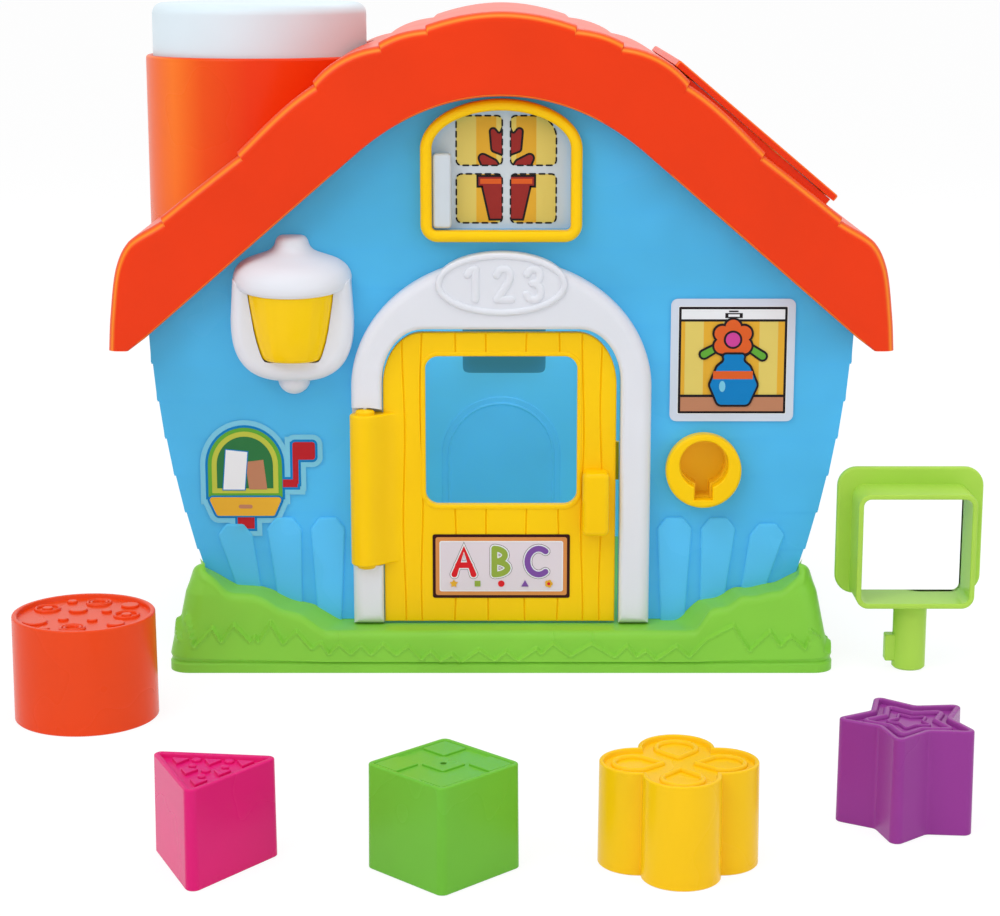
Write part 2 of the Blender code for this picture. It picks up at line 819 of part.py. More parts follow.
def build_base():
    tray = make(
        "base_tray",
        loft(
            [
                base_ring(BASE_HALF, BASE_HALF_DEPTH, 0),
                base_ring(BASE_HALF, BASE_HALF_DEPTH, FOOT_RIM - FOOT_STEP),
                base_ring(BASE_HALF - FOOT_STEP, BASE_HALF_DEPTH - FOOT_STEP, FOOT_RIM),
                base_ring(
                    BASE_HALF - BASE_SHOULDER_IN, BASE_HALF_DEPTH - BASE_SHOULDER_DEPTH_IN, BASE_SHOULDER_Z
                ),
                base_ring(BASE_HALF - BASE_TAPER, BASE_HALF_DEPTH - BASE_DEPTH_TAPER, HILL_Z),
            ]
        ),
        "grass_green",
    )
    above = HILL_Z + OVER
    line = hill_line()
    edge = BASE_HALF + OVER * 2
    cut(
        tray,
        prism(
            [(-edge, line[0][1])] + line + [(edge, line[-1][1]), (edge, above), (-edge, above)],
            -BASE_HALF_DEPTH - OVER,
            BASE_HALF_DEPTH + OVER,
        ),
    )
    side = [(BASE_HALF_DEPTH * a, FLOOR_Z + (HILL_Z - FLOOR_Z) * b) for a, b in SIDE_HILL_SHARES]
    side = mirrored(side)
    reach = BASE_HALF_DEPTH + OVER
    cut(
        tray,
        prism(
            side + [(reach, HILL_Z), (reach, above), (-reach, above), (-reach, HILL_Z)],
            -edge,
            edge,
            "X",
        ),
    )
    seat = -CREST_Y + GAP
    pocket = []
    for z in [FLOOR_Z] + lap_heights(FLOOR_Z, HILL_Z + LAP_PITCH):
        half = wall_half(z) + LAP + GAP
        pocket.append([(x, y, z) for x, y in rectangle((-half, -seat), (half, seat))])
    cut(tray, loft(pocket))
    under = FLOOR_Z - FLOOR
    half = BASE_HALF - BASE_WALL
    depth = BASE_HALF_DEPTH - BASE_WALL
    cut(tray, loft([base_ring(half, depth, -OVER), base_ring(half, depth, under)]))
    for place_of_boss in screw_places():
        join(tray, disc(place_of_boss, BOSS_R, PLATE + GAP, under + OVER, steps=SMALL_STEPS))
    for place_of_boss in screw_places():
        cut(
            tray,
            disc(place_of_boss, SCREW_R + GAP, PLATE, PLATE + SCREW_LENGTH, steps=SMALL_STEPS),
        )
    build_base_plate(half - GAP, depth - GAP)


def build_base_plate(half, depth):
    rings = [base_ring(half, depth, z) for z in (0, PLATE)]
    plate = make("base_plate", loft(rings), "grass_green")
    head_high = GAP + SCREW_HEAD
    for number, centre in enumerate(screw_places(), 1):
        cut(plate, disc(centre, SCREW_R + GAP, -OVER, PLATE + OVER, steps=SMALL_STEPS))
        cut(plate, disc(centre, SCREW_HEAD_R + GAP, -OVER, head_high + GAP, steps=SMALL_STEPS))
        head = disc(centre, SCREW_HEAD_R, GAP, head_high, steps=SMALL_STEPS)
        screw = make(f"base_screw_{number}", head, "steel")
        tip = PLATE + SCREW_LENGTH - GAP
        join(screw, disc(centre, SCREW_R, head_high - SCREW_HEAD / 2, tip, steps=SMALL_STEPS))
    low = (-BATTERY_DOOR_HALF - GAP, UNIT_Y - BATTERY_DOOR_HALF_DEPTH - GAP, -OVER)
    high = (BATTERY_DOOR_HALF + GAP, UNIT_Y + BATTERY_DOOR_HALF_DEPTH + GAP, PLATE + OVER)
    cut(plate, box(low, high))
    for i in range(GRILLE_HOLES):
        turn = math.tau * i / GRILLE_HOLES
        centre = (SPEAKER_X + GRILLE_RING_R * math.cos(turn), GRILLE_RING_R * math.sin(turn))
        cut(plate, disc(centre, GRILLE_R, -OVER, PLATE + OVER, steps=SMALL_STEPS // 2))
    build_sound_unit()


def build_sound_unit():
    unit_low = PLATE + GAP
    make(
        "sound_unit",
        box(
            (-UNIT_HALF, UNIT_Y - UNIT_HALF_DEPTH, unit_low),
            (UNIT_HALF, UNIT_Y + UNIT_HALF_DEPTH, unit_low + UNIT_TALL),
        ),
        "dark_plastic",
    )
    door = make(
        "battery_door",
        box(
            (-BATTERY_DOOR_HALF, UNIT_Y - BATTERY_DOOR_HALF_DEPTH, 0),
            (BATTERY_DOOR_HALF, UNIT_Y + BATTERY_DOOR_HALF_DEPTH, PLATE),
        ),
        "grass_green",
    )
    centre = (0, UNIT_Y - BATTERY_DOOR_HALF_DEPTH + SCREW_HEAD_R * 2)
    head_high = GAP + SCREW_HEAD
    cut(door, disc(centre, SCREW_R + GAP, -OVER, PLATE + OVER, steps=SMALL_STEPS))
    cut(door, disc(centre, SCREW_HEAD_R + GAP, -OVER, head_high + GAP, steps=SMALL_STEPS))
    screw = make("battery_screw", disc(centre, SCREW_HEAD_R, GAP, head_high, steps=SMALL_STEPS), "steel")
    join(screw, disc(centre, SCREW_R, head_high - SCREW_HEAD / 2, PLATE, steps=SMALL_STEPS))
    make("speaker", disc((SPEAKER_X, 0), SPEAKER_R, PLATE + GAP, PLATE + GAP + SPEAKER_TALL), "dark_plastic")


# Walls


def doorway_outline(half, foot, top, corner):
    low_corner = [(-half, foot), (half, foot)]
    right = arc((half - corner, top - corner), (corner, corner), 0, 90, CORNER_STEPS + 2)
    left = arc((-half + corner, top - corner), (corner, corner), 90, 180, CORNER_STEPS + 2)
    return low_corner + right + left


def window_outline(inset):
    half = WINDOW_HALF - inset
    top = WINDOW_TOP - inset
    crown = arc((0, WINDOW_SPRING), (half, top - WINDOW_SPRING), 0, 180, ROUND_STEPS // 2)
    return [(-half, WINDOW_LOW + inset), (half, WINDOW_LOW + inset)] + crown


def gable_wall(name, front):
    """The front or rear wall: a lapped slab kept to the gable's outline."""
    sign = 1 if front else -1
    top = RIDGE_Z
    outer = lapped(lambda z: sign * FACE_Y, -sign, WALL_FOOT - OVER, top)
    inner = [(sign * WALL_BACK_Y, top), (sign * WALL_BACK_Y, WALL_FOOT - OVER)]
    reach = ROOF_HALF
    wall = make(name, prism(outer + inner, -reach, reach, "X"), "wall_blue")
    low, high = sorted((sign * (CREST_Y - OVER), sign * (WALL_BACK_Y + OVER)))
    shape(wall, prism(gable_outline(GAP), low, high), "INTERSECT")
    return wall


def build_front_wall():
    wall = gable_wall("front_wall", True)
    sink = FACE_Y + WALL / 2
    for x, z, half in ((PICTURE_X, PICTURE_Z, PICTURE_HALF), (POST_X, POST_Z, POST_HALF)):
        half += PAD_MARGIN
        join(wall, prism(rectangle((x - half, z - half), (x + half, z + half)), CREST_Y, sink))
    for x, top, lean in pickets():
        join(wall, prism(picket_outline(x, top, lean), CREST_Y - PICKET_PROUD, sink))
    low, high = CREST_Y - PICKET_PROUD - OVER, WALL_BACK_Y + OVER
    stop = DOORWAY_TOP - DOOR_STOP
    cut(wall, prism(doorway_outline(DOORWAY_HALF, WALL_FOOT - OVER, stop, DOORWAY_CORNER), low, high))
    cut(wall, prism(window_outline(WINDOW_BAR), low, high))
    cut(wall, disc((LOCK_X, LOCK_Z), ROTOR_R + RUN, low, high, "Y"))
    lens_middle = (LENS_TOP_Z + LENS_FOOT_Z) / 2
    cut(wall, disc((LAMP_X, lens_middle), LENS_SPRING_R + LENS_WIRE_R + RUN * 2, low, high, "Y", SMALL_STEPS))


def pickets():
    """Each picket's place, top and lean, on the left and the right of the door frame."""
    made = []
    for side in (-1, 1):
        for place_share, top_share, lean_share in PICKET_SHARES:
            x = FRAME_HALF + PICKET_STRIP * place_share
            made.append((x * side, PICKET_TOP * top_share, PICKET_WIDTH * lean_share * side))
    return made


def picket_outline(x, top, lean, grow=0):
    """A picket with cut corners, which narrows to its foot on the grass line."""
    half = PICKET_WIDTH / 2 + grow
    top = top + grow
    point = half * PICKET_TOP_SHARE
    shoulder = top - PICKET_POINT
    foot_half = half * PICKET_FOOT_SHARE
    left, right = x - lean - foot_half, x - lean + foot_half
    clear = GAP * 2
    foot = [(left, hill_height(left))] + [p for p in hill_line() if left < p[0] < right]
    foot.append((right, hill_height(right)))
    return [(a, z + clear) for a, z in foot] + [
        (x + half, shoulder),
        (x + point, top),
        (x - point, top),
        (x - half, shoulder),
    ]


def build_rear_wall():
    wall = gable_wall("rear_wall", False)
    inner = -WALL_BACK_Y
    arch = arc((0, REAR_ARCH_Z - REAR_ARCH_HALF), (REAR_ARCH_HALF, REAR_ARCH_HALF), 0, 180, ROUND_STEPS // 2)
    outline = [(-REAR_ARCH_HALF, WALL_FOOT + GAP), (REAR_ARCH_HALF, WALL_FOOT + GAP)] + arch
    join(wall, prism(outline, inner - RELIEF, inner + WALL / 2))
    low = -MOUNT_Y
    tab = filleted(
        rectangle((CATCH_X - CATCH_HALF, CATCH_LOW), (CATCH_X + CATCH_HALF, CATCH_HIGH)), CATCH_CORNER
    )
    make("rear_catch", prism(tab, low, low + CATCH), "roof_orange")


def side_wall(name, side):
    """A leaning side wall with lapped boards, between the front wall and the rear wall."""
    outer = lapped(lambda z: side * wall_half(z), side, WALL_FOOT, SHOULDER_Z)
    heights = [WALL_FOOT] + lap_heights(WALL_FOOT, SHOULDER_Z) + [SHOULDER_Z]
    inner = [(side * (wall_half(z) - WALL), z) for z in reversed(heights)]
    reach = -WALL_BACK_Y - GAP
    return make(name, prism(outer + inner, -reach, reach), "wall_blue")


def build_side_walls():
    reach = ROOF_HALF
    left = side_wall("left_wall", -1)
    flower = flower_outline(FLOWER_R + HOLE_CLEAR, FLOWER_LOBE_R + HOLE_CLEAR)
    cut(left, prism([(a, b + SIDE_HOLE_Z) for a, b in flower], -reach, 0, "X"))
    right = side_wall("right_wall", 1)
    star = star_outline(STAR_R + HOLE_CLEAR, BLOCK_EDGE)
    cut(right, prism([(a, b + SIDE_HOLE_Z) for a, b in star], 0, reach, "X"))


def build_stickers():
    for name, x, z, half in (
        ("picture_sticker", PICTURE_X, PICTURE_Z, PICTURE_HALF),
        ("mailbox_sticker", POST_X, POST_Z, POST_HALF),
    ):
        outline = rectangle((x - half, z - half), (x + half, z + half))
        sticker = make(name, prism(outline, MOUNT_Y - STICKER, MOUNT_Y), "sticker_paper")
        for post, top, lean in pickets():
            if abs(post - x) < half + PICKET_WIDTH and top > z - half:
                notch = picket_outline(post, top, lean, GAP)
                cut(sticker, prism(notch, MOUNT_Y - STICKER - OVER, MOUNT_Y + OVER))


# Door frame and door


def frame_outline(grow):
    """The door frame's outer line: straight legs under a half-round crown."""
    half = FRAME_HALF + grow
    crown = arc((0, FRAME_SPRING_Z), (half, FRAME_TOP + grow - FRAME_SPRING_Z), 0, 180, ROUND_STEPS - 8)
    return [(-half, FRAME_FOOT), (half, FRAME_FOOT)] + crown


def build_door_frame():
    frame = make("door_frame", prism(frame_outline(0), FRAME_FRONT_Y, MOUNT_Y), "frame_white")
    ring = arc((0, PLAQUE_Z), (PLAQUE_HALF, PLAQUE_RISE), 0, 360, ROUND_STEPS)[:-1]
    join(frame, prism(ring, FRAME_FRONT_Y - PLAQUE_PROUD, FRAME_FRONT_Y + FRAME_PROUD / 2))
    inner = (PLAQUE_HALF - PLAQUE_RIM, PLAQUE_RISE - PLAQUE_RIM)
    dish = arc((0, PLAQUE_Z), inner, 0, 360, ROUND_STEPS)[:-1]
    cut(frame, prism(dish, FRAME_FRONT_Y - PLAQUE_PROUD - OVER, FRAME_FRONT_Y))
    low, high = FRAME_FRONT_Y - OVER, MOUNT_Y + OVER
    doorway = doorway_outline(DOORWAY_HALF, FRAME_FOOT - OVER, DOORWAY_TOP, DOORWAY_CORNER)
    cut(frame, prism(doorway, low, high))
    leg_top = UPPER_KNUCKLE_Z + RUN
    leg_cut = rectangle((-FRAME_HALF - OVER, FRAME_FOOT - OVER), (-DOORWAY_HALF + OVER, leg_top + HINGE_R))
    cut(frame, prism(leg_cut, low, MOUNT_Y - FRAME_FLANGE))
    centre = (HINGE_X, HINGE_Y)
    web_half = HINGE_R / 3
    for foot, top in ((FRAME_FOOT, LOWER_KNUCKLE_Z), (UPPER_KNUCKLE_Z, leg_top + HINGE_R * 2)):
        join(frame, disc(centre, HINGE_R, foot, top, steps=SMALL_STEPS + 8))
        join(
            frame,
            box((HINGE_X - web_half, HINGE_Y, foot + GAP), (HINGE_X + web_half, MOUNT_Y - GAP, top - GAP)),
        )
    cut(frame, disc(centre, PIN_R + GAP, FRAME_FOOT + HINGE_R / 2, leg_top + HINGE_R, steps=SMALL_STEPS))
    low_pin = FRAME_FOOT + HINGE_R / 2 + GAP
    high_pin = leg_top + HINGE_R - GAP
    make("hinge_pin", disc(centre, PIN_R, low_pin, high_pin, steps=SMALL_STEPS), "steel")


def build_door():
    pivot = (HINGE_X, HINGE_Y, DOOR_FOOT)
    corner = DOORWAY_CORNER - DOOR_TOP_GAP
    right = arc((DOOR_RIGHT - corner, DOOR_TOP - corner), (corner, corner), 0, 90, CORNER_STEPS + 2)
    left = arc((DOOR_LEFT + corner, DOOR_TOP - corner), (corner, corner), 90, 180, CORNER_STEPS + 2)
    outline = [(DOOR_LEFT, DOOR_FOOT), (DOOR_RIGHT, DOOR_FOOT)] + right + left
    door = make("door", prism(outline, DOOR_FRONT_Y, DOOR_BACK_Y), "yellow", pivot)
    groove_low, groove_high = DOOR_FRONT_Y - OVER, DOOR_FRONT_Y + GROOVE
    for share in GROOVE_SHARES:
        x = share * DOORWAY_HALF
        groove = [(x - GROOVE / 2, DOOR_FOOT - OVER), (x + GROOVE / 2, DOOR_FOOT - OVER)]
        groove += [(x + GROOVE / 2, DOOR_TOP + OVER), (x - GROOVE / 2, DOOR_TOP + OVER)]
        cut(door, prism(groove, groove_low, groove_high))
    rim_half = PANE_HALF + PANE_RIM
    rim = rectangle((-rim_half, PANE_LOW - PANE_RIM), (rim_half, PANE_HIGH + PANE_RIM))
    rim = filleted(rim, PANE_CORNER + PANE_RIM)
    join(door, prism(rim, DOOR_FRONT_Y - PANE_RIM_PROUD, DOOR_BACK_Y - GAP))
    label = rectangle((-LABEL_HALF, LABEL_LOW), (LABEL_HALF, LABEL_HIGH))
    join(door, prism(label, DOOR_FRONT_Y - GAP / 2, DOOR_BACK_Y - GAP))
    grip = rectangle((HANDLE_X - HANDLE_WIDTH / 2, HANDLE_LOW), (HANDLE_X + HANDLE_WIDTH / 2, HANDLE_HIGH))
    grip = filleted(grip, HANDLE_WIDTH / 3)
    join(door, prism(grip, DOOR_FRONT_Y - HANDLE_PROUD, DOOR_BACK_Y - GAP))
    join(door, prism(hook_outline(), LOCK_Z - HOOK_HALF, LOCK_Z + HOOK_HALF, "Z"))
    low, high = LOWER_KNUCKLE_Z + HINGE_GAP, UPPER_KNUCKLE_Z - HINGE_GAP
    centre = (HINGE_X, HINGE_Y)
    join(door, disc(centre, HINGE_R, low, high, steps=SMALL_STEPS + 8))
    web = DOOR_THICK - GAP * 2
    join(
        door,
        box((HINGE_X, DOOR_BACK_Y - GAP - web, low + GAP), (DOOR_LEFT + OVER, DOOR_BACK_Y - GAP, high - GAP)),
    )
    opening = filleted(rectangle((-PANE_HALF, PANE_LOW), (PANE_HALF, PANE_HIGH)), PANE_CORNER)
    cut(door, prism(opening, DOOR_FRONT_Y - PANE_RIM_PROUD - OVER, DOOR_BACK_Y + OVER))
    cut(door, disc(centre, PIN_R + GAP, low - OVER, high + OVER, steps=SMALL_STEPS))
    back = DOOR_FRONT_Y - GAP / 2 - GAP
    make("door_label", prism(label, back - STICKER, back), "sticker_paper", pivot)


def hook_outline():
    """The hook on the door's back, seen from above: its lip stands behind the bolt when that is out."""
    root = DOOR_BACK_Y - GAP
    notch = BOLT_TIP_X - BOLT_TRAVEL - RUN * 2
    lip = BOLT_BACK_Y + RUN
    end = DOOR_RIGHT - HOOK_INSET
    return [
        (notch - HOOK, root),
        (notch, root),
        (notch, lip),
        (end, lip),
        (end, lip + HOOK),
        (notch - HOOK, lip + HOOK),
    ]


# Lock


def build_lock():
    ring = make("keyhole_ring", disc((LOCK_X, LOCK_Z), RING_R, MOUNT_Y - RING_PROUD, MOUNT_Y, "Y"), "yellow")
    cut(ring, prism(keyhole_outline(0), MOUNT_Y - RING_PROUD - OVER, MOUNT_Y + OVER))
    front, back = ROTOR_FRONT_Y, ROTOR_BACK_Y
    body = disc((LOCK_X, LOCK_Z), ROTOR_R, front, back, "Y")
    rotor = make("lock_rotor", body, "roof_orange", (LOCK_X, front, LOCK_Z))
    cut(rotor, prism(keyhole_outline(-SOCKET_INSET), front - OVER, front + SOCKET_DEPTH))
    start = math.radians(90 - CRANK_START_DEG)
    pin = (LOCK_X + CRANK_R * math.cos(start), LOCK_Z + CRANK_R * math.sin(start))
    join(rotor, disc(pin, CRANK_PIN_R, back - OVER, back + CRANK_PIN_LENGTH, "Y", SMALL_STEPS))
    build_bolt(pin)


def build_bolt(pin):
    front, back = BOLT_FRONT_Y, BOLT_BACK_Y
    yoke_half = CRANK_PIN_R + YOKE_CLEAR
    slot_low = LOCK_Z + CRANK_R * math.cos(math.radians(CRANK_START_DEG)) - yoke_half
    slot_high = LOCK_Z + CRANK_R + yoke_half
    end = pin[0] + yoke_half + BOLT_LAND
    low, high = LOCK_Z - BOLT_HALF, slot_high + BOLT_LAND / 2
    outline = rectangle((BOLT_TIP_X, low), (end, high))
    bolt = make("lock_bolt", prism(outline, front, back), "roof_orange", (BOLT_TIP_X, front, LOCK_Z))
    slot = rectangle((pin[0] - yoke_half, slot_low), (pin[0] + yoke_half, slot_high))
    cut(bolt, prism(slot, front - OVER, back + OVER))
    floor = max(back, front + CRANK_PIN_LENGTH) + GAP
    case_left = LOCK_X - CASE_REACH
    case_right = max(LOCK_X + ROTOR_R + RUN, end + GAP) + CASE_WALL
    case_low = LOCK_Z - ROTOR_R - RUN - CASE_WALL
    case_high = LOCK_Z + ROTOR_R + RUN + CASE_WALL
    case_front = WALL_BACK_Y + GAP
    case = make(
        "lock_case",
        prism(rectangle((case_left, case_low), (case_right, case_high)), case_front, floor + CASE_WALL),
        "frame_white",
    )
    hollow = rectangle(
        (case_left + CASE_WALL, case_low + CASE_WALL), (case_right - CASE_WALL, case_high - CASE_WALL)
    )
    cut(case, prism(hollow, case_front - OVER, floor))
    gate = rectangle((case_left - OVER, low - GAP), (case_left + CASE_WALL + OVER, high + GAP))
    cut(case, prism(gate, front - GAP, back + GAP))


# Upper window


def build_window():
    frame = make("window_frame", prism(window_outline(0), MOUNT_Y - WINDOW_PROUD, MOUNT_Y), "yellow")
    low, high = MOUNT_Y - WINDOW_PROUD - OVER, MOUNT_Y + OVER
    cut(frame, prism(window_outline(WINDOW_BAR), low, high))
    hole_half = WINDOW_HALF - WINDOW_BAR
    front = WALL_BACK_Y + GAP
    back = front + SHUTTER_THICK
    half = hole_half + SHUTTER_LAP
    foot = WINDOW_LOW + WINDOW_BAR - SHUTTER_LAP
    top = WINDOW_TOP - WINDOW_BAR + SHUTTER_LAP
    crown = arc((half - SHUTTER_CORNER, top - SHUTTER_CORNER), (SHUTTER_CORNER, SHUTTER_CORNER), 0, 90, 6)
    outline = [(-half, foot), (half, foot)] + crown + [(-half, top)]
    shutter = make("window_shutter", prism(outline, front, back), "frame_white", (-half, front, foot))
    bar = rectangle((-hole_half + GAP, GRAB_LOW), (-hole_half + GAP + GRAB_WIDTH, GRAB_HIGH))
    join(shutter, prism(filleted(bar, GRAB_WIDTH / 4), WALL_BACK_Y - GRAB_PROUD, back - SHUTTER_THICK / 2))
    for left, right in SASH_COLUMN_SHARES:
        for low_share, high_share in SASH_ROW_SHARES:
            pane_low = foot + (top - foot) * low_share
            pane_high = foot + (top - foot) * high_share
            pane = rectangle((left * half, pane_low), (right * half, pane_high))
            cut(shutter, prism(pane, front - OVER, front + SASH_SINK))
    build_track(foot - GAP, top + GAP, back + GAP, half)


def build_track(low, high, card_front, half):
    plate_front = card_front + CARD + GAP
    back = plate_front + TRACK_PLATE
    front = WALL_BACK_Y + GAP
    end = half + SHUTTER_TRAVEL
    clear = TRACK_HIGH_HALF
    outline = [
        (-half - TRACK_LEDGE, low - TRACK_LEDGE),
        (end, low - TRACK_LEDGE),
        (end, WINDOW_SPRING),
        (clear, high + TRACK_LEDGE),
        (-half - TRACK_LEDGE, high + TRACK_LEDGE),
    ]
    track = make("shutter_track", prism(outline, plate_front, back), "frame_white")
    ledge_back = back - TRACK_PLATE / 2
    for ledge in (
        rectangle((-half - TRACK_LEDGE, low - TRACK_LEDGE), (end, low)),
        rectangle((-half - TRACK_LEDGE, high), (clear - TRACK_LEDGE, high + TRACK_LEDGE)),
    ):
        join(track, prism(ledge, front, ledge_back))
    card = rectangle((-half + GAP, low + GAP), (half - GAP, high - GAP))
    make("picture_card", prism(card, card_front, card_front + CARD), "sticker_paper")


# Lamp


def lens_profile(grow):
    return [
        (0, LENS_TOP_Z + grow),
        (LENS_TOP_R + grow, LENS_TOP_Z + grow),
        (LENS_FOOT_R + grow, LENS_FOOT_Z - grow),
        (0, LENS_FOOT_Z - grow),
    ]


def lamp_outline():
    """The lamp's plate: straight at the top and round below its waist."""
    waist = LAMP_LOW + LAMP_WAIST
    points = []
    for i in range(ROUND_STEPS // 2 + 1):
        turn = math.pi * i / (ROUND_STEPS // 2)
        along, down = math.cos(turn), math.sin(turn)
        x = LAMP_HALF * math.copysign(abs(along) ** LAMP_ROUND_SHARE, along)
        points.append((LAMP_X + x, waist - LAMP_WAIST * abs(down) ** LAMP_ROUND_SHARE))
    return points + [(LAMP_X - LAMP_HALF, LAMP_BROW_Z), (LAMP_X + LAMP_HALF, LAMP_BROW_Z)]


def build_lamp():
    housing = make("lamp_housing", prism(lamp_outline(), MOUNT_Y - LAMP_PLATE, MOUNT_Y), "frame_white")
    centre = (LAMP_X, MOUNT_Y)
    neck = (LAMP_NUB_R, LAMP_TOP - LAMP_NUB)
    pull = (LAMP_NUB_R, LAMP_BROW_Z + LAMP_BELL_PULL)
    brow = [(0, LAMP_TOP), (LAMP_NUB_R, LAMP_TOP), neck]
    brow += bend(neck, pull, (LAMP_BROW_R, LAMP_BROW_Z), CORNER_STEPS)
    brow += [(LAMP_BROW_R, LAMP_BROW_Z - LAMP_BROW), (0, LAMP_BROW_Z - LAMP_BROW)]
    join(housing, turned(brow, centre))
    tail = [(0, LAMP_LOW + LAMP_NUB_R), (LAMP_NUB_R, LAMP_LOW + LAMP_NUB_R)]
    tail += arc((0, LAMP_LOW), (LAMP_NUB_R, LAMP_TAIL), 0, -90, CORNER_STEPS)[:-1]
    tail.append((0, LAMP_LOW - LAMP_TAIL))
    join(housing, turned(tail, centre))
    reach = LAMP_BROW_R + OVER
    low_corner = (LAMP_X - reach, MOUNT_Y, LAMP_LOW - LAMP_TAIL - OVER)
    cut(housing, box(low_corner, (LAMP_X + reach, MOUNT_Y + reach, LAMP_TOP + OVER)))
    cut(housing, prism(frame_outline(GAP), FRAME_FRONT_Y - GAP, MOUNT_Y + OVER))
    lens_back = MOUNT_Y - LENS_BACK_GAP
    pocket_floor = lens_back + LENS_TRAVEL + GAP
    pocket = turned(lens_profile(LENS_CLEAR), (LAMP_X, lens_back))
    cut(housing, front_half(pocket, lens_back))
    half_top = LENS_TOP_R + LENS_CLEAR
    half_foot = LENS_FOOT_R + LENS_CLEAR
    well = [
        (LAMP_X - half_foot, LENS_FOOT_Z - LENS_CLEAR),
        (LAMP_X + half_foot, LENS_FOOT_Z - LENS_CLEAR),
        (LAMP_X + half_top, LENS_TOP_Z + LENS_CLEAR),
        (LAMP_X - half_top, LENS_TOP_Z + LENS_CLEAR),
    ]
    cut(housing, prism(well, lens_back - OVER / 2, pocket_floor))
    middle = (LAMP_X, (LENS_TOP_Z + LENS_FOOT_Z) / 2)
    spring_hole = LENS_SPRING_R + LENS_WIRE_R + RUN * 2
    cut(housing, disc(middle, spring_hole, pocket_floor - OVER, MOUNT_Y + OVER, "Y", SMALL_STEPS))
    lens = front_half(turned(lens_profile(0), (LAMP_X, lens_back)), lens_back)
    make("lamp_lens", lens, "yellow", (LAMP_X, lens_back, middle[1]))
    board_front = WALL_BACK_Y + GAP
    board_half = LAMP_BOARD_HALF
    board = rectangle(
        (middle[0] - board_half, middle[1] - board_half), (middle[0] + board_half, middle[1] + board_half)
    )
    make("lamp_board", prism(board, board_front, board_front + LAMP_BOARD), "board_green")
    low, high = lens_back + GAP, board_front - GAP
    coil("lens_spring", middle, LENS_SPRING_R, LENS_WIRE_R, low, high, LENS_TURNS, "Y")


def front_half(body, depth):
    """Keeps the part of a body in front of a plane at that depth, and closes it there."""
    bmesh.ops.bisect_plane(
        body,
        geom=list(body.verts) + list(body.edges) + list(body.faces),
        plane_co=(0, depth, 0),
        plane_no=(0, 1, 0),
        clear_outer=True,
    )
    bmesh.ops.holes_fill(body, edges=[edge for edge in body.edges if edge.is_boundary])
    bmesh.ops.recalc_face_normals(body, faces=body.faces)
    return body


# Roof, chimney and sorter lid


def build_roof():
    half_depth = ROOF_DEPTH / 2
    outline = roof_line() + roof_underside()
    roof = make("roof_shell", prism(outline, -half_depth, half_depth), "roof_orange")
    pocket = roof_line(ROOF_SKIN)
    foot = EAVE_Z - OVER
    pocket = [(pocket[0][0], foot)] + pocket[1:-1] + [(pocket[-1][0], foot)]
    cut(roof, prism(pocket, FASCIA_BACK, -FASCIA_BACK))
    cut(roof, disc((CHIMNEY_X, CHIMNEY_Y), TUBE_R + GAP, TUBE_SEAT, RIDGE_Z + OVER))
    frame = slope_frame()
    start, end = CURB_START, LID_LENGTH - CURB_END_GAP
    top = -LID - GAP
    depth = LID_HALF - CURB_END_GAP
    join(roof, moved(box((start, -depth, top - CURB_DEPTH), (end, depth, top)), frame))
    for side in (-1, 1):
        near = side * (LID_HINGE_HALF + GAP)
        far = side * (LID_HINGE_HALF + GAP + EAR)
        low, high = min(near, far), max(near, far)
        foot_box = box((-LID_HINGE_R, low, top - CURB_DEPTH), (LID_HINGE_R, high, -LID_HINGE_R))
        join(roof, moved(foot_box, frame))
        join(roof, moved(disc((0, -LID_HINGE_R), LID_HINGE_R, low, high, "Y", SMALL_STEPS), frame))
    through = LID_MARGIN + CURB
    opening = box((start + CURB, -depth + CURB, -through * 4), (end - CURB, depth - CURB, through))
    cut(roof, moved(opening, frame))
    reach = LID_HINGE_HALF + GAP + EAR + OVER
    bore = disc((0, -LID_HINGE_R), LID_PIN_R + GAP, -reach, reach, "Y", SMALL_STEPS)
    cut(roof, moved(bore, frame))


def build_chimney():
    centre = (CHIMNEY_X, CHIMNEY_Y)
    foot = EAVE_Z + ROOF_SKIN
    inner = TUBE_R - TUBE_WALL
    tube = make("chimney_tube", disc(centre, TUBE_R, foot, TUBE_TOP), "roof_orange")
    cut(tube, disc(centre, inner, foot - OVER, TUBE_DECK_Z))
    cut(tube, disc(centre, inner, TUBE_DECK_Z + TUBE_DECK, TUBE_TOP + OVER))
    deck_top = TUBE_DECK_Z + TUBE_DECK
    cut(tube, disc(centre, STEM_R + STEM_CLEAR, TUBE_DECK_Z - OVER, deck_top + OVER, steps=SMALL_STEPS))
    seat = TUBE_SEAT + GAP
    line = [(x, z + GAP) for x, z in roof_line() if x < 0]
    kept = [point for point in line if point[1] < seat]
    last = line[len(kept)]
    share = (seat - kept[-1][1]) / (last[1] - kept[-1][1])
    kept.append((kept[-1][0] + (last[0] - kept[-1][0]) * share, seat))
    below = foot - OVER * 2
    reach = CHIMNEY_X + TUBE_R + OVER
    outline = [(kept[0][0], below)] + kept + [(reach, seat), (reach, below)]
    far = TUBE_R + OVER
    cut(tube, prism(outline, CHIMNEY_Y - far, CHIMNEY_Y + far))
    build_cap(centre)


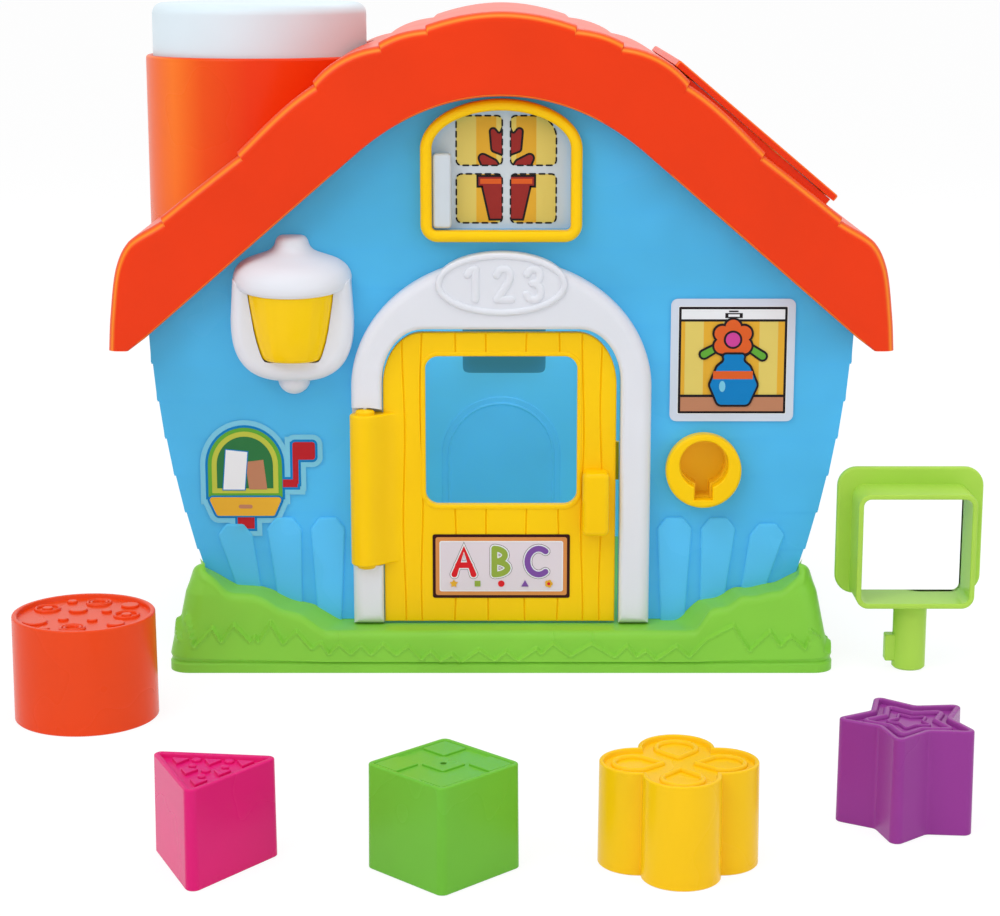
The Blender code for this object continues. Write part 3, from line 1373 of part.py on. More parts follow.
def build_cap(centre):
    inner = CAP_R - CAP_WALL
    roof = CAP_TOP - CAP_WALL
    shoulder = (CAP_R - CAP_EDGE, CAP_TOP - CAP_EDGE)
    profile = [(0, CAP_TOP)] + arc(shoulder, (CAP_EDGE, CAP_EDGE), 90, 0, CORNER_STEPS)
    profile += [(CAP_R, CAP_SKIRT_Z), (inner, CAP_SKIRT_Z), (inner, roof - CAP_EDGE / 2)]
    profile += [(inner - CAP_EDGE / 2, roof), (CAP_BOSS_R, roof), (CAP_BOSS_R, BOSS_FOOT)]
    profile += [(STEM_R, BOSS_FOOT), (STEM_R, STEM_FOOT), (0, STEM_FOOT)]
    cap = make("chimney_cap", turned(profile, centre, ROUND_STEPS + 8), "cap_white", (*centre, CAP_SKIRT_Z))
    deck = TUBE_DECK_Z + TUBE_DECK
    switch = (CHIMNEY_X + SWITCH_X_OFFSET, CHIMNEY_Y)
    switch_top = deck + GAP + SWITCH_TALL
    join(cap, disc(switch, PLUNGER_R, switch_top + CAP_TRAVEL + GAP, roof + CAP_WALL / 2, steps=SMALL_STEPS))
    make(
        "cap_switch",
        box(
            (switch[0] - SWITCH_HALF, switch[1] - SWITCH_HALF, deck + GAP),
            (switch[0] + SWITCH_HALF, switch[1] + SWITCH_HALF, switch_top),
        ),
        "dark_plastic",
    )
    coil("cap_spring", centre, CAP_SPRING_R, CAP_WIRE_R, deck + GAP, BOSS_FOOT - GAP, CAP_TURNS, "Z")


def build_lid():
    frame = slope_frame()
    pivot = slope_point(0, 0, -LID_HINGE_R)
    plate = rectangle((LID_START, -LID_HALF), (LID_LENGTH, LID_HALF))
    lid = make("sorter_lid", moved(prism(plate, -LID, 0, "Z"), frame), "roof_orange", pivot)
    reach = LID_HINGE_HALF
    join(lid, moved(box((0, -reach + GAP, -LID + GAP), (LID_START + OVER, reach - GAP, -GAP)), frame))
    join(lid, moved(disc((0, -LID_HINGE_R), LID_HINGE_R, -reach, reach, "Y", SMALL_STEPS), frame))
    bore = disc((0, -LID_HINGE_R), LID_PIN_R + GAP, -reach - OVER, reach + OVER, "Y", SMALL_STEPS)
    cut(lid, moved(bore, frame))
    for outline, centre in lid_holes():
        points = [(a + centre[0], b + centre[1]) for a, b in outline]
        cut(lid, moved(prism(points, -LID - OVER, OVER, "Z"), frame))
    ends = LID_HINGE_HALF + GAP + EAR
    make(
        "lid_pin",
        moved(disc((0, -LID_HINGE_R), LID_PIN_R, -ends, ends, "Y", SMALL_STEPS // 2), frame),
        "steel",
    )


def lid_holes():
    """The three holes in the lid, as outlines and centres on the slope."""
    margin = CURB + LID_MARGIN / 2
    inside = CURB_START + margin
    outside = LID_LENGTH - CURB_END_GAP - margin
    edge = LID_HALF - CURB_END_GAP - margin
    round_r = ROUND_R + HOLE_CLEAR
    round_y = -edge + round_r
    cube_side = CUBE_SIDE + HOLE_CLEAR * 2
    cube_y = round_y + round_r + LID_MARGIN + cube_side / 2
    triangle_r = TRIANGLE_R + HOLE_CLEAR
    triangle_wide = triangle_r * math.cos(math.radians(30))
    triangle_deep = triangle_r * math.sin(math.radians(30))
    return (
        (circle((0, 0), round_r), ((inside + outside) / 2, round_y)),
        (cube_outline(cube_side, BLOCK_EDGE), (inside + cube_side / 2, cube_y)),
        (triangle_outline(triangle_r, BLOCK_EDGE), (outside - triangle_wide, edge - triangle_deep)),
    )


# Loose pieces


def block(name, outline, centre, tall, colour, turn=0.0, sink=None):
    """A block with a sunken top inside a rim."""
    body = prism(outline, 0, tall, "Z")
    matrix = Matrix.Translation((*centre, 0)) @ Matrix.Rotation(math.radians(turn), 4, "Z")
    item = make(name, moved(body, matrix), colour, (*centre, 0))
    if sink:
        hollow = prism(sink, tall - BLOCK_SINK, tall + OVER, "Z")
        cut(item, moved(hollow, matrix))
    return item


def build_blocks():
    block(
        "round_block",
        circle((0, 0), ROUND_R),
        (ROUND_X, ROUND_Y),
        ROUND_TALL,
        "block_orange",
        sink=circle((0, 0), ROUND_R - BLOCK_RIM),
    )
    block(
        "triangle_block",
        triangle_outline(TRIANGLE_R, BLOCK_EDGE),
        (TRIANGLE_X, TRIANGLE_Y),
        TRIANGLE_TALL,
        "block_pink",
        turn=TRIANGLE_TURN_DEG,
        sink=triangle_outline(TRIANGLE_R - BLOCK_RIM * 2, BLOCK_EDGE / 2),
    )
    cube = block(
        "cube_block",
        cube_outline(CUBE_SIDE, BLOCK_EDGE),
        (CUBE_X, CUBE_Y),
        CUBE_TALL,
        "block_green",
        turn=CUBE_TURN_DEG,
    )
    cube_sinks(cube)
    block(
        "flower_block",
        flower_outline(FLOWER_R, FLOWER_LOBE_R),
        (FLOWER_X, FLOWER_Y),
        FLOWER_TALL,
        "block_yellow",
        turn=FLOWER_TURN_DEG,
        sink=flower_outline(FLOWER_R - BLOCK_RIM, FLOWER_LOBE_R - BLOCK_RIM / 2),
    )
    block(
        "star_block",
        star_outline(STAR_R, BLOCK_EDGE),
        (STAR_X, STAR_Y),
        STAR_TALL,
        "block_purple",
        turn=STAR_TURN_DEG,
        sink=star_outline(STAR_R - BLOCK_RIM * 2, BLOCK_EDGE / 2),
    )


def cube_sinks(cube):
    """A three by three board on the cube's top: the cells in the middle of each side are sunken."""
    cell = (CUBE_SIDE - CUBE_RIM * 2) / 3
    matrix = Matrix.Translation((CUBE_X, CUBE_Y, 0)) @ Matrix.Rotation(math.radians(CUBE_TURN_DEG), 4, "Z")
    floor, above = CUBE_TALL - CUBE_SINK, CUBE_TALL + OVER
    for i, k in ((1, 0), (-1, 0), (0, 1), (0, -1)):
        low = ((i - 0.5) * cell + GAP / 2, (k - 0.5) * cell + GAP / 2, floor)
        high = ((i + 0.5) * cell - GAP / 2, (k + 0.5) * cell - GAP / 2, above)
        cut(cube, moved(box(low, high), matrix))
    cut(cube, disc((CUBE_X, CUBE_Y), CUBE_DIMPLE_R, floor, above, steps=SMALL_STEPS))


def build_key():
    front = KEY_Y - KEY_HEAD_DEPTH / 2
    back = front + KEY_HEAD_DEPTH
    low, high = KEY_HEAD_LOW, KEY_HEAD_LOW + KEY_HEAD_TALL
    head = rectangle((KEY_X - KEY_HEAD_HALF, low), (KEY_X + KEY_HEAD_HALF, high))
    head = prism(filleted(head, KEY_HEAD_CORNER), front, back)
    key = make("key", head, "key_green", (KEY_X, KEY_Y, 0))
    flange = rectangle(
        (KEY_X - KEY_FLANGE_HALF, low + KEY_FLANGE_REST), (KEY_X + KEY_FLANGE_HALF, high + KEY_FLANGE_RISE)
    )
    join(key, prism(filleted(flange, KEY_FLANGE_CORNER), back - KEY_FLANGE, back + GAP))
    join(key, disc((KEY_X, KEY_Y), KEY_STEM_R, 0, low + KEY_BAR / 2, steps=SMALL_STEPS + 8))
    bit_x = KEY_X - KEY_STEM_R
    bit_low = (bit_x - KEY_BIT, KEY_Y - KEY_BIT_THICK / 2, KEY_BIT_LOW)
    bit_high = (bit_x + KEY_STEM_R / 2, KEY_Y + KEY_BIT_THICK / 2, KEY_BIT_LOW + KEY_BIT_TALL)
    join(key, box(bit_low, bit_high))
    half = KEY_HEAD_HALF - KEY_BAR
    hole = rectangle((KEY_X - half, low + KEY_BAR), (KEY_X + half, high - KEY_BAR))
    cut(key, prism(filleted(hole, KEY_HEAD_CORNER - KEY_BAR), front - OVER, back + OVER))


def main():
    for item in list(bpy.data.objects):
        bpy.data.objects.remove(item)
    build_base()
    build_front_wall()
    build_rear_wall()
    build_side_walls()
    build_stickers()
    build_door_frame()
    build_door()
    build_lock()
    build_window()
    build_lamp()
    build_roof()
    build_chimney()
    build_lid()
    build_blocks()
    build_key()


main()
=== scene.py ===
"""Dresses the playhouse: finer pieces, finishes, floor, light and camera."""

import math

import bmesh
import bpy
import numpy as np
from mathutils import Matrix, Vector


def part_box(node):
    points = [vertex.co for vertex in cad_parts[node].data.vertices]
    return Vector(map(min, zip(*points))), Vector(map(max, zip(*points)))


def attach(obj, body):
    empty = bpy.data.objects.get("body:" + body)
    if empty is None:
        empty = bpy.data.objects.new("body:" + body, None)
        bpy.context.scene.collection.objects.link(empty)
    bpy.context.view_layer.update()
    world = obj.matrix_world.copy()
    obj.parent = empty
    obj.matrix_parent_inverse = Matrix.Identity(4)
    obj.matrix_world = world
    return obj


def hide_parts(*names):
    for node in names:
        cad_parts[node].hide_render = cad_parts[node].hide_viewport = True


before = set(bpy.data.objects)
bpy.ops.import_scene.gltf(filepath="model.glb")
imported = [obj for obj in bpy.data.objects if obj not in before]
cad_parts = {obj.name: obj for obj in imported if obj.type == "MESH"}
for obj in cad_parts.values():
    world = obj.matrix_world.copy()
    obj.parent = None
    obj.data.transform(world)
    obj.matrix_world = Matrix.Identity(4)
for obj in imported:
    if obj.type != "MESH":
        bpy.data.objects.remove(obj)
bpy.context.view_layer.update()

# Sizes taken from the frame
ROOF_LOW, ROOF_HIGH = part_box("roof_shell")
ROOF_HALF = ROOF_HIGH.x
ROOF_DEPTH = ROOF_HIGH.y - ROOF_LOW.y
EAVE_Z = ROOF_LOW.z
RIDGE_Z = ROOF_HIGH.z
BASE_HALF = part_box("base_tray")[1].x
BASE_HALF_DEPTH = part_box("base_tray")[1].y

# Camera
EYE = (-0.00056, -1.090, 0.310)
PITCH_DEG = 12.16
LENS_MM = 84.6
SENSOR_MM = 36.0

# Light and floor
FLOOR_HALF = 22.0
FLOOR_DROP = 0.0002
FLOOR_SHADE = (0.94, 0.94, 0.95, 1.0)
FLOOR_GLOW_SHARE = 0.80
FLOOR_GLOW = 1.08
WORLD_STRENGTH = 0.64
WHITE = (1.0, 1.0, 1.0, 1.0)
# Each light's place, aim, width and height, and power
LIGHTS = {
    "key_light": ((-0.9, -1.1, 1.3), (0.0, -0.1, 0.1), (0.9, 0.9), 7.2),
    "fill_light": ((1.2, -1.0, 0.8), (0.0, -0.1, 0.1), (0.8, 1.0), 2.6),
    "back_light": ((0.3, 1.2, 1.4), (0.0, 0.0, 0.2), (1.2, 0.6), 4.0),
    "top_light": ((0.0, -0.5, 1.7), (0.0, -0.2, 0.0), (1.2, 0.8), 6.0),
    "inner_light": ((0.0, 0.0, 0.20), (0.0, 0.06, 0.05), (0.12, 0.06), 0.10),
}

# Small sizes that many pieces share
OVER = 0.001
FINE = 0.0003
EDGE = 0.0008
ROUND_STEPS = 96
EDGE_STEPS = 4

# House lines
FLOOR_Z = 0.018
HILL_Z = 0.048
SHOULDER_Z = 0.172
BASE_CORNER = 0.009
FOOT_RIM = 0.0046
FOOT_STEP = 0.0009
BASE_SHOULDER_Z = 0.034
BASE_SHOULDER_IN = (0.0068, 0.0050)
BASE_TAPER = (0.0122, 0.0090)
BASE_WALL = 0.006
BASE_CEILING = 0.0152
WALL_INSET = 0.0234
SHOULDER_INSET = 0.0152
WALL_BOW = 0.0075
LAP = 0.0006
LAP_RELIEF = 0.0003
LAP_PITCH = 0.0167
LAP_START = 0.0010
LEFT_HILL_SHARES = (
    (0.50, 0.0), (0.57, 0.24), (0.635, 0.32), (0.685, 0.47), (0.72, 0.53), (0.79, 0.55),
    (0.835, 0.73), (0.865, 0.82), (0.90, 0.87), (0.915, 1.0),
)
RIGHT_HILL_SHARES = (
    (0.55, 0.0), (0.60, 0.32), (0.65, 0.35), (0.695, 0.51), (0.735, 0.50), (0.78, 0.565),
    (0.81, 0.57), (0.845, 0.69), (0.875, 0.78), (0.90, 0.80), (0.92, 1.0),
)
SIDE_HILL_SHARES = (
    (0.0, 0.41), (0.25, 0.42), (0.50, 0.40), (0.62, 0.62), (0.75, 0.70), (0.84, 0.92), (1.0, 1.0),
)
HILL_SAMPLES = 800
HILL_SOFT = 9

# Grass relief on the base: tips and valleys as shares of the base's half width and of the hills' height
GRASS_SHARES = (
    (-1.0, 0.20), (-0.94, 0.54), (-0.921, 0.25), (-0.866, 0.43), (-0.840, 0.30), (-0.803, 0.46),
    (-0.753, 0.30), (-0.741, 0.35), (-0.729, 0.30), (-0.692, 0.48), (-0.655, 0.285), (-0.615, 0.40),
    (-0.569, 0.24), (-0.540, 0.295), (-0.516, 0.19), (-0.489, 0.285), (-0.451, 0.19),
    (-0.421, 0.275), (-0.390, 0.185), (-0.356, 0.28), (-0.315, 0.18), (-0.280, 0.265),
    (-0.239, 0.14), (-0.212, 0.22), (-0.181, 0.125), (-0.148, 0.19), (-0.123, 0.11), (-0.067, 0.23),
    (-0.020, 0.13), (0.014, 0.215), (0.051, 0.13), (0.105, 0.24), (0.120, 0.19), (0.155, 0.285),
    (0.209, 0.173), (0.272, 0.285), (0.341, 0.163), (0.378, 0.27), (0.407, 0.167), (0.434, 0.22),
    (0.464, 0.135), (0.527, 0.265), (0.564, 0.165), (0.614, 0.32), (0.698, 0.455), (0.746, 0.22),
    (0.806, 0.40), (0.839, 0.265), (0.869, 0.35), (0.913, 0.24), (0.928, 0.40), (1.0, 0.20),
)
GRASS_RELIEF = 0.0014
GRASS_EDGE = 0.00035
GRASS_BEAD = 0.0007
GRASS_FADE_ROWS = 3

# Roof
ROOF_SKIN = 0.003
SHINGLE_STEP = 0.0013
FASCIA = 0.012
ROOF_EDGE = 0.0046
ROOF_FOOT_EDGE = 0.0014
SHINGLE_NOSE = 0.0010
NOSE_SHARES = (-1.0, -0.35, 0.0, 0.15)
NOSE_MIDDLE_SHARE = 0.5
NOSE_FALL_SHARE = 0.14
BULGES = (0.0009, 0.0024, 0.0008, 0.0004, 0.0)
ROOF_STEPS = 10
ARCH_STEPS = 24
ARCH_CREST = 0.0354
RIDGE_SHARES = ((0.0, 1.0), (0.07, 0.994), (0.13, 0.980))
ROW_SHARES = ((0.19, 0.959), (0.307, 0.908), (0.471, 0.795), (0.663, 0.589), (0.86, 0.397))
EAVE_SHARES = ((0.942, 0.325), (0.973, 0.257), (0.9935, 0.104), (1.0, 0.0))
ARCH_FOOT_SHARES = ((0.948, 0.0), (0.903, 0.04))
ARCH_SPRING_SHARE = (0.353, 0.596)
ARCH_PULL_SHARE = 0.19
LID_TOP_SHARE = (0.4505, 0.853)
LID_END_SHARE = (0.8534, 0.4563)

# How outlines are rounded and pieces are shaded
CORNER_STEPS = 6
SHORT_SIDE_SHARE = 0.48
MITER_SHARE = 0.35
SHARP_DEG = 34.0
LAMP_SHARP_DEG = 40
EDGE_SHARE = 0.8
RIB_END_DEG = 88

# Finishes
FLOW_SCALE = 22.0
GRAIN_SCALE = 900.0
FLOW_STOPS = (0.34, 0.66)
GLOSS_SPAN = (-0.04, 0.05)
PLASTIC_IOR = 1.46
SHINE = 0.2
SHADOW_TINT = (0.66, 0.90, 1.0, 1.0)
GLOW_SHARE = 0.3
# Painted highlight: a warm orange band on the roof's rounded edges, where the surface turns partly to the
# front or back. Each stop is (turn, share)
ROOF_HIGHLIGHT_STOPS = (
    (0.0, 0.0), (0.03, 0.0), (0.10, 0.85), (0.20, 0.25), (0.36, 0.0), (0.80, 0.25), (0.90, 0.85), (0.97, 0.0),
)
# Painted highlight: a yellow-orange upright band down the chimney's left side, by how far the surface turns
# that way
CHIMNEY_HIGHLIGHT_STOPS = ((0.0, 0.25), (0.16, 0.9), (0.30, 0.25), (0.5, 0.0))
# Painted light: the colour and strength of an even glow on the walls and pickets, stronger on the rear wall,
# so their shaded parts stay bright
PAINTED_GLOW_TONE = (0.25, 0.92, 1.0, 1.0)
WALL_PAINTED_GLOW = 0.10
REAR_PAINTED_GLOW = 0.16
STEEL = (196, 197, 200)
STICKER_PAPER = (222, 228, 238)

# Each plastic's screen colour, roughness and mottling; for the walls also grain and the light let through
PLASTICS = {
    "roof_orange": ((236, 57, 6), 0.30, 0.03),
    "chimney_orange": ((236, 62, 10), 0.28, 0.03),
    "cap_white": ((222, 237, 245), 0.38, 0.02),
    "frame_white": ((226, 229, 237), 0.34, 0.02),
    "yellow": ((255, 205, 0), 0.34, 0.03),
    "lens_yellow": ((255, 208, 6), 0.24, 0.03),
    "grass_green": ((134, 204, 68), 0.34, 0.04),
    "key_green": ((176, 219, 84), 0.36, 0.05),
    "block_orange": ((236, 72, 22), 0.27, 0.03),
    "block_pink": ((226, 22, 118), 0.27, 0.03),
    "block_green": ((112, 190, 56), 0.27, 0.03),
    "block_yellow": ((250, 200, 12), 0.27, 0.03),
    "block_purple": ((150, 56, 148), 0.27, 0.03),
    "lock_orange": ((255, 205, 30), 0.36, 0.03),
    "board_green": ((40, 118, 66), 0.45, 0.08),
    "dark_plastic": ((50, 50, 54), 0.45, 0.08),
    "shutter_white": ((206, 217, 226), 0.38, 0.02),
    "wall_blue": ((84, 192, 238), 0.26, 0.07, 0.04, 0.85),
    "picket_blue": ((96, 200, 240), 0.26, 0.07, 0.04, 0.85),
    # rear_blue is lighter than wall_blue: painted light, so the inside of the house looks lit through the
    # door's pane
    "rear_blue": ((108, 204, 240), 0.30, 0.05, 0.04, 0.85),
}

# Walls and pickets
CREST_Y = -0.0777
FACE_Y = -0.0771
WALL_BACK_Y = -0.0738
MOUNT_Y = -0.0780
GABLE_REACH_SHARE = 0.907
PICKETS = ((0.0768, 0.0650, 0.0003), (0.0962, 0.0650, 0.0022), (0.1180, 0.0622, 0.0060))
PICKET_WIDTH = 0.0154
PICKET_POINT = 0.0050
PICKET_TOP_SHARE = 0.50
PICKET_FOOT_SHARE = 0.69
PICKET_PROUD = 0.0013
PICKET_ROUND = 0.0022
PICKET_SINK = 0.003
REAR_ARCH_HALF = 0.030
REAR_ARCH_Z = 0.091
REAR_RING_SHARE = 0.12
RELIEF = 0.0007
# Painted shade of the catch behind the rear wall: its centre, half size, corner sharpness and colour
CATCH_SHADE_CENTRE = (0.0015, 0.1190)
CATCH_SHADE_HALF = (0.0208, 0.0160)
CATCH_SHADE_POWER = 14.0
CATCH_SHADE_TONE = (0, 70, 88)

# Doorway and door frame
DOORWAY_HALF = 0.0520
DOORWAY_TOP = 0.1505
DOORWAY_CORNER = (0.0180, 0.0238)
FRAME_HALF = 0.0654
FRAME_SPRING_Z = 0.1243
FRAME_TOP = 0.1807
FRAME_FRONT_Y = -0.0880
FRAME_FOOT = 0.0183
FRAME_EDGE = 0.0050
FRAME_LIP = 0.0022
PLAQUE_Z = 0.1704
PLAQUE_HALF = 0.0285
PLAQUE_RISE = 0.0136
PLAQUE_RIM = 0.0028
PLAQUE_PROUD = 0.0011
HINGE = (-0.0593, -0.0867)
HINGE_R = 0.0067
HINGE_HALF_WIDTH = 0.0066
HINGE_GAP_SHARE = 1.3
HINGE_ARCH = 0.0024
UPPER_KNUCKLE_Z = 0.1140
LOWER_KNUCKLE_Z = 0.0455
HINGE_GAP = 0.0006
PIN_DOME = 0.0042
PIN_CORE_R = 0.0009
PIN_FOOT = 0.004
PIN_HEAD = 0.014
PIN_RISE = 0.0016
PIN_SHARES = ((0.0, -0.5), (1.0, -0.5), (1.0, 0.3), (0.86, 0.7), (0.5, 0.95), (0.0, 1.0))

# Door
DOOR_LEFT = -0.0516
DOOR_RIGHT = 0.0502
DOOR_FOOT = 0.0190
DOOR_TOP = 0.1488
DOOR_FRONT_Y = -0.0842
DOOR_BACK_Y = -0.0802
DOOR_CORNER = (0.0174, 0.0230)
BARREL_EASE = 0.0150
EASE_STEPS = 12
GROOVE = 0.0008
GROOVE_WAVE = 0.0005
GROOVE_DEEP = 0.0006
GROOVE_TURNS = 75.0
GROOVE_PHASE = 2.1
GROOVE_STEPS = 40
GROOVE_SHARES = (-0.82, -0.67, -0.39, -0.12, 0.205, 0.48, 0.685, 0.84)
PANE_HALF = 0.0331
PANE_LOW = 0.0722
PANE_HIGH = 0.1384
PANE_CORNER = 0.0057
PANE_RIM = 0.0010
HANDLE_X = 0.0413
HANDLE_WIDTH = 0.0116
HANDLE_LOW = 0.0596
HANDLE_HIGH = 0.0881
HANDLE_PROUD = 0.0085
HANDLE_CORNER = 0.0026
HANDLE_EDGE = 0.0024
HOOK_X = (0.0406, 0.0436, 0.0480)
HOOK_Y = (-0.0630, -0.0600)
HOOK_HALF_TALL = 0.006
LABEL_HALF = 0.0303
LABEL_LOW = 0.0299
LABEL_HIGH = 0.0589
LABEL_BACK_Y = -0.0844

# Lock
LOCK = (0.0889, 0.0870)
RING_R = 0.0166
RING_PROUD = 0.0060
KEYHOLE_R = 0.0107
KEYHOLE_RISE = 0.0029
KEY_SLOT_HALF = 0.0040
KEY_SLOT_DROP = 0.0129

# Upper window and shutter
WINDOW_HALF = 0.0348
WINDOW_LOW = 0.1877
WINDOW_SPRING = 0.2274
WINDOW_TOP = 0.2489
WINDOW_BAR = 0.0050
WINDOW_PROUD = 0.0060
WINDOW_CORNER = 0.0076
WINDOW_INNER_CORNER = 0.0020
WINDOW_LIP_SHARE = 0.42
SHUTTER_HALF = 0.0313
SHUTTER_LOW = 0.1912
SHUTTER_HIGH = 0.2454
SHUTTER_FRONT_Y = -0.0735
SHUTTER_BACK_Y = -0.0715
SHUTTER_CORNER = 0.016
GRAB_LOW_X = -0.0295
GRAB_WIDTH = 0.0080
GRAB_LOW = 0.1936
GRAB_HIGH = 0.2255
GRAB_PROUD = 0.0078
GRAB_CORNER = 0.0016
GRAB_EDGE = 0.0013

# Lamp
LAMP_X = -0.0905
LAMP_LOW = 0.1275
LAMP_HALF = 0.0265
LAMP_WAIST = 0.0275
LAMP_ROUND_SHARE = 0.73
LAMP_BROW_SHARE = 0.96
LAMP_BROW_Z = 0.1722
LAMP_TOP = 0.1907
LAMP_PLATE = 0.012
LAMP_EDGE = 0.0055
LAMP_NUB_R = 0.0070
LAMP_TAIL = 0.0067
BELL_R = 0.0257
BELL_DROP = 0.0225
BELL_LEAN = 0.13
BELL_SHARES = (
    (0.0, 0.0), (0.16, 0.005), (0.22, 0.03), (0.262, 0.085), (0.282, 0.15), (0.31, 0.22),
    (0.38, 0.295), (0.55, 0.365), (0.74, 0.44), (0.87, 0.53), (0.955, 0.64), (0.995, 0.76),
    (1.0, 0.83), (0.99, 0.90), (0.955, 0.955), (0.88, 0.99), (0.0, 1.0),
)
LENS_FOOT_Z = 0.1370
LENS_TOP_Z = 0.1677
LENS_R = 0.0196
LENS_SHARES = (
    (0.0, 0.0), (0.62, 0.0), (0.68, 0.014), (0.72, 0.05), (0.76, 0.12), (0.83, 0.29), (0.88, 0.45),
    (0.93, 0.64), (0.975, 0.84), (1.0, 1.0), (0.0, 1.0),
)
LENS_BACK_Y = -0.0825
LENS_CLEAR = 0.0005
LENS_TRAVEL = 0.0033
LENS_RIDGE_DEG = 30.0
LENS_RIDGE_WIDE_DEG = 5.0
LENS_RIDGE_SHARE = 0.012

# Chimney
CHIMNEY = (-0.1120, 0.018)
TUBE_R = 0.0527
TUBE_WALL = 0.0028
TUBE_TOP = 0.2636
TUBE_SEAT = 0.1950
TUBE_FOOT = 0.1445
TUBE_DECK_Z = 0.2320
TUBE_DECK = 0.003
CAP_R = 0.0494
CAP_TOP = 0.2873
CAP_SKIRT_Z = 0.2500
CAP_WALL = 0.0025
CAP_EDGE = 0.0052
CAP_BOSS_R = 0.012
CAP_BOSS_FOOT = 0.2620
STEM_R = 0.004
STEM_FOOT = 0.2250
STEM_BORE_SHARE = 1.1

# Sorter lid on the right slope
LID_HALF = 0.080
LID = 0.003
LID_HINGE_R = 0.0022
LID_OVER = 0.0010
LID_EDGE = 0.0009
LID_ROD_R = 0.0007
LID_ROD_SHARE = 0.8
LID_CORNER = 0.0015
LID_OPENING = 0.030
CURB = 0.004
CURB_START = 0.007
CURB_END_GAP = 0.0015
CURB_DEPTH = 0.0057
LID_MARGIN = 0.0035
HOLE_CLEAR = 0.0008

# Loose blocks: place, size, height and turn of each, and the reliefs on their tops
RELIEF_TALL = 0.0010
RELIEF_WIDE = 0.0014
TALL_LINE_SHARE = 1.4
STUD_EDGE_SHARE = 0.6
ROUND_PLACE = (-0.1722, -0.1565)
ROUND_R = 0.0296
ROUND_TALL = 0.044
ROUND_RINGS = (
    (((0.0032, 0.0192), (-0.0013, -0.0190)), (0.0055, 0.0040), 0.0),
    (((-0.0167, 0.0099), (0.0176, 0.0005)), (0.0056,), 0.0022),
)
ROUND_STUDS = (
    (0.0169, 0.0146, 0.0038),
    (-0.0182, -0.0099, 0.0052),
    (-0.0036, 0.0077, 0.0040),
    (0.0152, -0.0126, 0.0037),
)
ROUND_DOT_R = 0.0022
ROUND_DOTS = ((-0.0082, 0.0203), (0.0085, 0.0060), (-0.0074, -0.0060), (0.0047, -0.0071), (-0.0125, -0.0200))
TRIANGLE_PLACE = (-0.1016, -0.3215)
TRIANGLE_R = 0.0276
TRIANGLE_TALL = 0.036
TRIANGLE_TURN_DEG = -7
WEDGE_SHARE = 0.135
WEDGE_PITCH_SHARE = 0.42
WEDGE_ROWS = ((3, 0.28), (2, -0.09), (1, -0.46))
WEDGE_DOTS = ((0.05, 0.062), (-0.165, 0.05))
CUBE_PLACE = (-0.0200, -0.3237)
CUBE_SIDE = 0.0385
CUBE_TALL = 0.038
CUBE_TURN_DEG = 45
CUBE_RIM = 0.0018
CUBE_PIP_R = 0.0012
FLOWER_PLACE = (0.0614, -0.3182)
FLOWER_R = 0.0280
FLOWER_LOBE_R = 0.0138
FLOWER_TALL = 0.037
FLOWER_TURN_DEG = 45
FLOWER_RIM = 0.0016
DROP_POINT = 0.0085
DROP_SHIFT = 0.0015
DROP_R = 0.0070
DROP_DEG = 115
DROP_STEPS = 24
DROP_LINE_SHARE = 1.5
STAR_PLACE = (0.1476, -0.2786)
STAR_R = 0.0284
STAR_INNER_SHARE = 0.56
STAR_TALL = 0.039
STAR_TURN_DEG = 18
STAR_LINES = ((0.60, 0.50, 2), (0.30, 0.25, 1))
BLOCK_CORNER = 0.0030
BLOCK_EDGE = 0.0007
BLOCK_RIM = 0.0022
BLOCK_SINK = 0.0018
BLOCK_DRAFT = 0.0003

# Key
KEY_X = 0.1804
KEY_Y = -0.0900
KEY_HALF = 0.0258
KEY_LOW = 0.0296
KEY_HIGH = 0.0808
KEY_DEPTH = 0.024
KEY_BAR = 0.0023
KEY_CORNER = 0.0055
FLANGE_HALF = 0.0322
FLANGE_LOW = 0.0310
FLANGE_HIGH = 0.0884
FLANGE_CORNER = 0.0085
FLANGE = 0.0033
FLANGE_EDGE = 0.0012
KEY_STEM_R = 0.0073
KEY_BIT = 0.0036
KEY_BIT_LOW = 0.0033
KEY_BIT_HIGH = 0.0153
KEY_BIT_THICK = 0.006

# Stickers on the front wall
PICTURE = (0.1009, 0.1356)
PICTURE_HALF = 0.0271
POST = (-0.1063, 0.0828)
POST_HALF = 0.0248
STICKER = 0.0004

# Base's rows and columns, and its grass at the sides
BASE_COLUMNS = (520, 340, 12)
BASE_ROWS = 46
BASE_TOP_EDGE = 0.0042
SIDE_GRASS_SHARE = 0.8
SIDE_GRASS_AWAY = 0.03

# Numerals on the plaque: each one's lines in shares, with the steps of its curves
NUMERAL_HALF_TALL = 0.0066
NUMERAL_WIDE = 0.0054
NUMERAL_PITCH = 0.0128
NUMERAL_SHIFT = 0.0010
NUMERAL_STROKE = 0.0017
NUMERAL_PROUD = 0.0009
NUMERAL_SHARES = (
    (
        (((-0.5, 0.62), (-0.2, 0.92), (0.12, 1.0)), 4),
        (((0.12, 1.0), (0.12, 0.0), (0.12, -1.0)), 0),
    ),
    (
        (
            (
                (-0.55, 0.60), (-0.36, 0.88), (0.0, 1.0), (0.40, 0.86), (0.52, 0.48), (0.36, 0.10),
                (0.0, -0.36), (-0.55, -1.0),
            ),
            5,
        ),
        (((-0.55, -1.0), (0.0, -1.0), (0.62, -1.0)), 0),
    ),
    (
        (
            (
                (-0.50, 0.66), (-0.30, 0.90), (0.02, 1.0), (0.42, 0.84), (0.50, 0.50), (0.32, 0.16),
                (-0.06, 0.06),
            ),
            5,
        ),
        (
            (
                (-0.06, 0.06), (0.36, -0.06), (0.58, -0.42), (0.44, -0.84), (0.02, -1.0), (-0.34, -0.92),
                (-0.56, -0.66),
            ),
            5,
        ),
    ),
)

